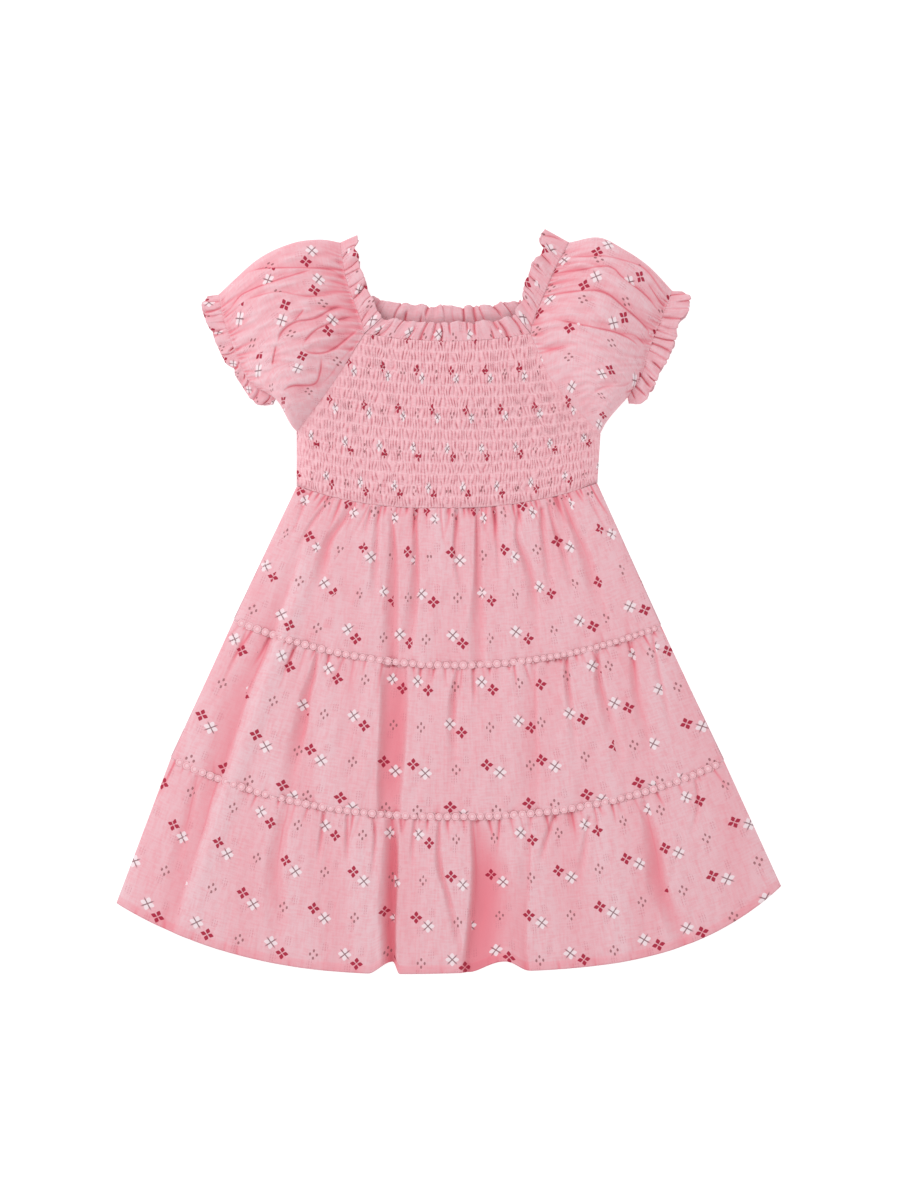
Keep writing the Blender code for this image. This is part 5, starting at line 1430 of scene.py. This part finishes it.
class Sleeve:
    """A raglan puff sleeve as it lies. down 0 is the neck edge and raglan seam, and
    down 1 the cuff; across 0 is the shoulder fold, and across 1 the underarm."""

    def __init__(self, cut, seed):
        self.neck, self.raglan, self.shoulder, self.cuff, self.underarm = map(curve_through, cut[:5])
        self.cut = cut
        self.seed = seed

    def body_end(self, across):
        """x and y along the neck edge and then the raglan seam."""
        across = np.asarray(across, float)
        on_neck = along(self.neck, across / NECK_SHARE)
        on_raglan = along(self.raglan, (across - NECK_SHARE) / (1.0 - NECK_SHARE))
        return np.where((across <= NECK_SHARE)[..., None], on_neck, on_raglan)

    def place(self, down, across):
        """A Coons patch between the four outlines."""
        down, across = np.broadcast_arrays(down, across)
        d, a = down[..., None], across[..., None]
        ends = mix(self.body_end(across), along(self.cuff, across), d)
        folds = mix(along(self.shoulder, down), along(self.underarm, down), a)
        shoulder = mix(self.shoulder[0], self.shoulder[-1], d)
        underarm = mix(self.underarm[0], self.underarm[-1], d)
        place = ends + folds - mix(shoulder, underarm, a)
        return place[..., 0], place[..., 1]

    def hidden_print(self, down, across):
        """How much print is out of sight between the shoulder fold and each quad."""
        x, y = self.place(down, across)
        quad_down = (down[1:, 0] + down[:-1, 0]) / 2.0
        quad_across = (across[:, 1:] + across[:, :-1]) / 2.0
        total = np.zeros((x.shape[0] - 1, x.shape[1] - 1))
        for crease in self.cut.creases:
            if not crease.hidden:
                continue
            line = []
            for px, py in curve_through(crease.points, 6):
                row, column = np.unravel_index(np.argmin(np.hypot(x - px, y - py)), x.shape)
                line.append((down[row, 0], across[0, column]))
            line = np.array(sorted(line))
            edge = np.interp(quad_down, line[:, 0], line[:, 1])[:, None]
            total += crease.hidden * (quad_across > edge)
        return total

    def fold_height(self, down):
        """Where the front and the back meet at the two folds."""
        return mix(SLEEVE_FOLD, SLEEVE_MID_FOLD, np.sin(math.pi * np.clip(down, 0.0, 1.0)))

    def top_height(self, down):
        arch = np.abs(np.sin(math.pi * np.clip(down, 0.0, 1.0))) ** SLEEVE_PUFF_POWER
        return mix(SLEEVE_END, SLEEVE_PUFF, arch)

    def plain_front(self, down, across):
        """The front's height without its folds."""
        fold = self.fold_height(down)
        return fold + (self.top_height(down) - fold) * sleeve_dome(across)

    def crease_depth(self, x, y):
        """A crease is a narrow line in a soft trough with a low lip on one side. Returns its depth, and its
        painted shade from 0 to 1."""
        depth = np.zeros(np.shape(x))
        shade = np.zeros(np.shape(x))
        for crease in self.cut.creases:
            off, at = beside_line(curve_through(crease.points, 6), x, y)
            taper = inwards(at, 5.0)
            width = crease.half_width
            sharp = 1.0 if crease.hidden else smooth((crease.depth - 1.2) / 1.2)
            core = sharp * peak(off / (0.06 * width + 0.25))
            soft = bell(off / np.where(off > 0.0, 2.2 * width, 0.4 * width))
            lip = bell((off + 1.2 * width) / (1.2 * width))
            deep = crease.depth * taper
            depth = np.maximum(depth, deep * (0.22 * core + 0.4 * soft)) - 0.2 * deep * lip
            shade = np.maximum(shade, taper * (1.1 * core + 0.3 * soft) * min(1.15, crease.depth / 2.2))
        return depth, shade

    def gathers(self, down, across):
        """Troughs along the arm from the neck edge, the raglan and the cuff. Returns their depth and their
        painted shade."""
        chance = np.random.default_rng(self.seed)
        depth = np.zeros(np.broadcast(down, across).shape)
        shade = np.zeros(depth.shape)
        for kind, away in ((NECK_GATHERS, down), (CUFF_GATHERS, 1.0 - down)):
            for number in range(kind.count):
                start = (number + 0.8 * chance.random()) / kind.count * kind.span
                reach = kind.reach + kind.more_reach * chance.random() ** kind.power
                half = mix(*GATHER_HALF_SHARE, chance.random())
                drift = mix(*kind.drift, chance.random()) + kind.fan * (start - 0.2)
                side = across - start - drift * away - kind.bend * drift * away**2
                fade = 1.0 - smooth(away / reach)
                spread = half * (1 + kind.widen * away / reach)
                deep = mix(*kind.depth, chance.random())
                depth += deep * peak(side / spread) * fade
                shade += deep * peak(side / (0.5 * spread)) * fade
        # the small puckers of the elastic, at the neck edge and the cuff, with painted shade between them
        wander = ripples(across, down, self.seed + 3, 9, (0.05, 0.2), (0.2, 0.5))
        turns = across * SLEEVE_CUT[0] / RUCK_PITCH + 0.3 * wander
        ruck = (1.0 - np.abs(np.sin(math.pi * turns))) ** 2
        at_neck = (1.0 - smooth(down / 0.07)) * smooth((NECK_SHARE - across) / 0.03)
        at_cuff = 1.0 - smooth((1.0 - down) / 0.08)
        ruck = ruck * (at_neck + at_cuff)
        return depth + 0.5 * ruck, shade + 0.8 * ruck

    def front(self, down, across):
        """The front's height and its painted shade."""
        x, y = self.place(down, across)
        dome = sleeve_dome(across)
        rim = inwards(across, 12.0)
        ends = inwards(down, 9.0)
        creases, shade = self.crease_depth(x, y)
        gathers, gather_shade = self.gathers(down, across)
        gathers = gathers * inwards(down, 40.0)
        soft = ripples(x, y, self.seed + 5, 12, (10.0, 30.0), (12.0, 40.0))
        width, length = SLEEVE_CUT
        fine = ripples(across * width, down * length, self.seed + 6, 16, (5.0, 14.0), (24.0, 70.0))
        soft = soft + 1.1 * fine
        height = self.plain_front(down, across) - creases * ends * np.minimum(dome * 1.1, 1.0)
        height = height - gathers * rim + 0.3 * soft * rim * ends
        # painted light and shade along the sleeve, from the shoulder to the underarm
        painted_light = mix(*self.cut.tones, smooth((across - 0.15) / 0.5))
        gather_shade = np.clip(gather_shade, 0.0, 1.7)
        # painted shade in the creases and gathers, lighter on the soft swells' crests
        painted_shade = FLAT_SHADE + painted_light + 0.8 * shade + (0.15 * gathers + 0.4 * gather_shade) * rim - 0.08 * soft
        return height, painted_shade

    def back(self, down, share):
        """The outer face of the back, flat on the surface away from the folds."""
        nearest = np.minimum(share, 1.0 - share)
        lift = np.clip(1.0 - nearest / SLEEVE_REST, 0.0, 1.0)
        return self.fold_height(down) * lift**2.2


def add_sleeve(side, sleeve):
    """A tube of rings, each round the back from the underarm seam to the shoulder fold
    and round the front to the underarm."""
    down = np.linspace(0.0, 1.0, SLEEVE_ROWS + 1)[:, None]
    # the columns are closer together at the folds
    ease = np.linspace(0.0, 1.0, SLEEVE_COLUMNS + 1)[None, :]
    front_across = 0.5 - 0.5 * np.cos(math.pi * ease) * 0.35 - 0.5 * (1.0 - 2.0 * ease) * 0.65
    back_share = np.linspace(0.0, 1.0, SLEEVE_BACK_COLUMNS + 2)[None, :]
    x, y = sleeve.place(down, front_across)
    height, painted_shade = sleeve.front(down, front_across)
    back_x, back_y = sleeve.place(down, 1.0 - back_share)
    back_z = sleeve.back(down, back_share)
    back_u, back_v = on_cloth(back_x, back_y, back_z)
    folds = ripples(back_x, back_y, sleeve.seed + 9, 8, (8.0, 24.0), (10.0, 40.0))
    back_z = back_z + 0.5 * np.clip(folds, 0.0, 1.0) * inwards(down, 6.0)
    front_u, front_v = on_cloth(x, y, sleeve.plain_front(down, front_across))
    hidden = sleeve.hidden_print(down, front_across)
    # the print runs on over the shoulder fold, and starts anew at the underarm
    inside = (slice(None), slice(1, -1))
    u = np.hstack([(back_u - back_u[:, -1:])[inside], front_u])
    v = np.hstack([back_v[inside], front_v])
    jump = np.hstack([np.zeros((SLEEVE_ROWS, SLEEVE_BACK_COLUMNS)), hidden, hidden[:, -1:]])
    period = front_u[:, -1:] + back_u[:, -1:]
    if side == "right":
        u, jump, period = -u, -jump, -period
    fields = ((back_x, x), (back_y, y), (back_z, height), (SLEEVE_BACK_SHADE + 0.0 * back_x, painted_shade))
    x, y, z, painted_shade = (np.hstack([back[inside], front]) for back, front in fields)
    start_u, start_v = sleeve.cut.print_start
    skin = Skin()
    flip = side == "right"
    outer = skin.grid(
        x, y, z, u + start_u, v + start_v, painted_shade, period=period, flip=not flip, jump=jump
    )
    inner_down = np.linspace(0.0, 1.0, 9)[:, None]
    inner_across = np.linspace(0.02, 0.98, 19)[None, :]
    step = 1.0 / 16.0
    near = [sleeve.plain_front(np.clip(inner_down + k * step, 0.0, 1.0), inner_across) for k in (-1, 0, 1)]
    inner_x, inner_y = sleeve.place(inner_down, inner_across)
    inner_z = np.maximum(np.minimum.reduce(near) - SLEEVE_ROOM, SLEEVE_FLOOR)
    under_share = np.linspace(0.02, 0.98, 13)[1:-1][None, :]
    under_x, under_y = sleeve.place(inner_down, 1.0 - under_share)
    under_z = BACK_TOP + 0.0 * under_x
    x, y = np.hstack([under_x, inner_x]), np.hstack([under_y, inner_y])
    z = np.hstack([under_z, inner_z])
    # the inner face has an even painted shade
    inner = skin.grid(x, y, z, 0.0, 0.0, 0.6, period=1.0, flip=flip)
    close_wall(skin, outer, inner, ring=True)
    return skin.add(f"sleeve_{side}", "cloth", "cotton_dobby")


# ---- ruffles --------------------------------------------------------------
def pleats(share, part, length, count, seed):
    """A ruffle's relief, its painted shade, and each pleat's line: tilted faces with narrow, uneven
    valleys, some from the free edge, at part 1, and some from the elastic."""
    chance = np.random.default_rng(seed)
    at = share * length
    depth = np.zeros(np.broadcast(share, part).shape)
    shade = np.zeros(depth.shape)
    lines = []
    for number in range(count):
        centre = (number + 0.05 + 0.9 * chance.random()) * length / count
        half = mix(*PLEAT_HALF, chance.random())
        deep = mix(*PLEAT_DEPTH, chance.random())
        lean = mix(-PLEAT_LEAN, PLEAT_LEAN, chance.random())
        bow = mix(-PLEAT_BOW, PLEAT_BOW, chance.random())
        start = mix(*PLEAT_START, chance.random())
        grow = smooth((part - start) / 0.4)
        if chance.random() < ROOT_PLEATS:
            grow = 1.0 - smooth((part - 0.45 - start) / 0.4)
        line = centre + lean * part + bow * np.sin(math.pi * part)
        off = (at - line) / half
        depth += deep * grow * peak(off)
        shade += 0.4 * deep * grow * (peak(off * half / 0.45) + 0.35 * peak(off))
        lines.append(line[:, 0])
    lines = np.sort(np.stack(lines, -1), axis=1)
    tilts = np.random.default_rng(seed + 5).uniform(-PLEAT_TILT, PLEAT_TILT, count + 1)
    tilt = np.zeros(depth.shape)
    for row, bounds in enumerate(lines):
        ends = np.concatenate([[0.0], bounds, [length]])
        face = np.clip(np.searchsorted(ends, at[0]) - 1, 0, count)
        width = np.maximum(ends[face + 1] - ends[face], 1.0)
        tilt[row] = tilts[face] * ((at[0] - ends[face]) / width - 0.5)
    swell = ripples(at, 8.0 * part, seed + 1, 12, (6.0, 24.0), (16.0, 50.0))
    roots = at / ROOT_PITCH + 0.3 * ripples(at, 0.0 * part, seed + 2, 6, (8.0, 20.0), (50.0, 60.0))
    small = (1.0 - np.abs(np.sin(math.pi * roots))) ** 2 * (1.0 - smooth(part / 0.32))
    small = small * mix(0.3, 1.0, np.clip(0.5 + 0.5 * swell, 0.0, 1.0))
    close = smooth(at / 3.0) * smooth((length - at) / 3.0)
    rise = smooth(part * 1.5)
    relief = ((SWELL_RELIEF * swell + tilt) * rise - depth) * close - ROOT_RELIEF * small
    # painted shade in the pleats' valleys and at the small root puckers, lighter on the swells, and lighter
    # on the raised side of each tilted face and deeper on its low side
    painted_shade = FLAT_SHADE + np.clip(shade * close, 0.0, 1.2) + 0.6 * small - 0.1 * swell - 0.12 * tilt * rise
    return relief, painted_shade, lines


def add_ruffle(node, roots, edges, root_z, edge_z, share, swing, flip, closed=False):
    """A strip from its root line to its free edge, or a ring if it is closed. swing says
    how much of its relief it keeps. The print jumps at each of its pleats."""
    length, fullness, _, count, seed, rows, start_u, start_v = RUFFLES[node]
    part = np.linspace(0.0, 1.0, rows + 1)[:, None]
    relief, painted_shade, lines = pleats(share[None, :], part, length, count, seed)
    wave = ripples(share * length, 0.0, seed + 7, 7, (10.0, 30.0), (50.0, 90.0))
    trim_edge = 0.98 + 0.03 * wave + 0.05 * np.clip(relief[-1], -2.0, 1.2)
    reach = mix(-0.03, trim_edge[None, :], part)
    x = mix(roots[None, :, 0], edges[None, :, 0], reach)
    y = mix(roots[None, :, 1], edges[None, :, 1], reach)
    z = mix(root_z, edge_z, smooth(part * 1.6)) + relief * swing
    u = share[None, :] * length * RUFFLE_SHOWN + start_u
    v = RUFFLE_PRINT * part + start_v
    quad_at = quad_middles(share[None, :] * length + 0.0 * part)
    passed = np.stack([np.searchsorted(lines[row], quad_at[row]) for row in range(rows)])
    jump = passed * (fullness - RUFFLE_SHOWN) * length / count
    period = None
    if closed:
        period = RUFFLE_SHOWN * length
        jump = np.hstack([jump, jump[:, -1:]])
    skin = Skin()
    skin.grid(x, y, np.maximum(z, RUFFLE_CLOTH), u, v, painted_shade, period=period, flip=flip, jump=jump)
    return skin.add(node, "cloth", "cotton_dobby", RUFFLE_CLOTH)


def neck_ruffle(node, line, edge_points, columns, inset, root_z, edge_z, swing):
    """Above the neck line of the bodice, at the front or the back."""
    share = np.linspace(0.0, 1.0, columns)
    across = mix(inset, 1.0 - inset, share)
    roots = np.stack(on_arc(line, 2.0 * across - 1.0), -1)
    edges = along(curve_through(edge_points), across)
    return add_ruffle(node, roots, edges, root_z, edge_z, share, swing, flip=True)


def side_neck_ruffle(side, sleeve, edge_points):
    """Above a sleeve's neck edge: up the front, over the shoulder fold and down the
    back, as one strip."""
    edge_curve = curve_through(edge_points)
    front, behind = (np.linspace(0.0, 1.0, points) for points in SIDE_POINTS)
    behind = behind[1:]
    rise = mix(0.003, 1.0, front)
    stop = SIDE_RUFFLE_STOP[side]
    roots = sleeve.body_end(NECK_SHARE * (1.0 - np.append(rise, mix(1.0, stop, behind))))
    edges = along(edge_curve, np.append(rise, mix(1.0, stop + 0.06, behind)))
    over = smooth((front - 0.85) / 0.3)
    back_over = smooth((0.15 - behind) / 0.3)
    front_root_z = sleeve.plain_front(0.0, NECK_SHARE * (1.0 - rise)) + 0.1
    back_root, back_edge = SIDE_BACK_Z
    root_z = np.append(front_root_z, mix(back_root, SLEEVE_FOLD + 0.1, back_over))
    front_edge_z = mix(front_root_z + 1.2, SIDE_FOLD_EDGE_Z, over)
    edge_z = np.append(front_edge_z, mix(back_edge, SIDE_FOLD_EDGE_Z, back_over))
    swing = np.append(mix(0.85, 0.3, over), mix(0.4, 0.2, back_over))
    share = np.linspace(0.0, 1.0, len(swing))
    return add_ruffle(f"neck_ruffle_{side}", roots, edges, root_z, edge_z, share, swing, side == "left")


def cuff_ruffle(side, sleeve, edge_points):
    """A ring beyond the cuff elastic, along the front and back below it."""
    front, behind = (np.linspace(0.0, 1.0, points) for points in CUFF_POINTS)
    behind = behind[1:-1]
    across = mix(0.003, 0.997, front)
    inset = np.append(across, mix(0.997, 0.003, behind))
    roots = along(sleeve.cuff, inset)
    edges = along(curve_through(edge_points), inset)
    rim = smooth(9.0 * np.minimum(front, 1.0 - front))
    back_rim = smooth(9.0 * np.minimum(behind, 1.0 - behind))
    (fold_root, fold_edge), (back_root, back_edge) = CUFF_FOLD_Z, CUFF_BACK_Z
    root_z = np.append(sleeve.plain_front(1.0, across) + 0.1, mix(fold_root, back_root, back_rim))
    edge_z = np.append(mix(fold_edge, CUFF_TOP_EDGE_Z, rim), mix(fold_edge, back_edge, back_rim))
    swing = np.append(0.8 * rim + 0.1, 0.35 * back_rim + 0.1)
    share = np.linspace(0.0, 1.0, len(inset), endpoint=False)
    node, flip = f"cuff_ruffle_{side}", side == "right"
    return add_ruffle(node, roots, edges, root_z, edge_z, share, swing, flip, closed=True)


# ---- the room -------------------------------------------------------------
def aim_lamp(lamp, place, target):
    """Puts a lamp at a place and turns it to a target."""
    lamp.location = tuple(c * MM for c in place)
    run = [t - p for t, p in zip(target, place)]
    flat = math.hypot(run[0], run[1])
    lamp.rotation_euler = (math.atan2(flat, -run[2]), 0.0, math.atan2(run[1], run[0]) - math.pi / 2)


def add_camera():
    camera = bpy.data.objects.new("camera", bpy.data.cameras.new("camera"))
    camera.data.sensor_width = SENSOR
    camera.data.lens = SENSOR * CAMERA_DISTANCE / VIEW_HEIGHT
    camera.data.clip_end = CAMERA_REACH * MM
    camera.location = (VIEW_CENTRE[0] * MM, VIEW_CENTRE[1] * MM, CAMERA_DISTANCE * MM)
    bpy.context.scene.collection.objects.link(camera)
    bpy.context.scene.camera = camera


def add_lights():
    world = bpy.data.worlds.new("room")
    world.use_nodes = True
    background = world.node_tree.nodes["Background"]
    background.inputs["Color"].default_value = WHITE
    background.inputs["Strength"].default_value = WORLD_STRENGTH
    bpy.context.scene.world = world
    key = bpy.data.lights.new("key", "AREA")
    key.shape = "DISK"
    key.size = KEY_SIZE * MM
    key.energy = KEY_WATTS
    lamp = bpy.data.objects.new("key", key)
    aim_lamp(lamp, KEY_PLACE, KEY_TARGET)
    bpy.context.scene.collection.objects.link(lamp)


def add_floor():
    half = FLOOR_SIDE * MM / 2.0
    corners = [(-half, -half, 0), (half, -half, 0), (half, half, 0), (-half, half, 0)]
    mesh = bpy.data.meshes.new("floor")
    mesh.from_pydata(corners, [], [(0, 1, 2, 3)])
    mesh.materials.append(floor_material())
    floor = bpy.data.objects.new("floor", mesh)
    floor.location.z = -FLOOR_DROP * MM
    bpy.context.scene.collection.objects.link(floor)


# ---- the dress ------------------------------------------------------------
def declare_cut(cut, share):
    """Works out, from the size a piece was cut to, the area of cloth that the mesh shows, and does nothing
    with it. share is how much of that cloth the mesh shows, as the rest of it is out of sight in tucks and
    gathers."""
    width, length = (side * MM for side in cut)
    area = share * width * length


def declare_ruffle(node):
    cut = RUFFLES[node]
    declare_cut((cut.length * cut.fullness, RUFFLE_DEPTH), cut.shown)


def main():
    bpy.context.scene.view_settings.view_transform = "Standard"
    add_camera()
    add_lights()
    add_floor()
    front_trims = ([front_trim(1, "trim_upper_front")], [front_trim(2, "trim_lower_front")], [])
    back_trims = ([back_trim(1, "trim_upper_back")], [back_trim(2, "trim_lower_back")], [])
    for number, tier in enumerate(TIERS):
        back = skirt_back(number)
        declare_cut((tier.cut, TIER_LENGTH), TIER_SHOWN["back"])
        front = skirt_front(number)
        declare_cut((tier.cut, TIER_LENGTH), TIER_SHOWN["front"])
    bodice_cut = (BODICE_WIDTH * SHIRRING, BODICE_LENGTH)
    back = bodice_back()
    declare_cut(bodice_cut, BODICE_SHOWN)
    front = bodice_front()
    declare_cut(bodice_cut, BODICE_SHOWN)
    node = "neck_ruffle_back"
    back_ruffle = neck_ruffle(
        node, BACK_NECK_LINE, BACK_RUFFLE_EDGE, columns=321, inset=0.006, root_z=2.2, edge_z=3.8, swing=0.8
    )
    declare_ruffle(node)
    node = "neck_ruffle_front"
    top = SIDE_TOP + BODICE_PUFF
    ruffle = neck_ruffle(
        node, NECK_LINE, FRONT_RUFFLE_EDGE, columns=401, inset=0.001, root_z=top + 0.9, edge_z=top + 2.2,
        swing=0.9,
    )
    declare_ruffle(node)
    for side, cut, neck_edge, cuff_edge, seed in (
        ("left", LEFT_SLEEVE, LEFT_SIDE_EDGE, LEFT_CUFF_EDGE, 70),
        ("right", RIGHT_SLEEVE, RIGHT_SIDE_EDGE, RIGHT_CUFF_EDGE, 80),
    ):
        sleeve = Sleeve(cut, seed)
        tube = add_sleeve(side, sleeve)
        declare_cut((2.0 * SLEEVE_CUT[0], SLEEVE_CUT[1]), SLEEVE_SHOWN)
        ruffle = side_neck_ruffle(side, sleeve, neck_edge)
        declare_ruffle(f"neck_ruffle_{side}")
        ruffle = cuff_ruffle(side, sleeve, cuff_edge)
        declare_ruffle(f"cuff_ruffle_{side}")


main()
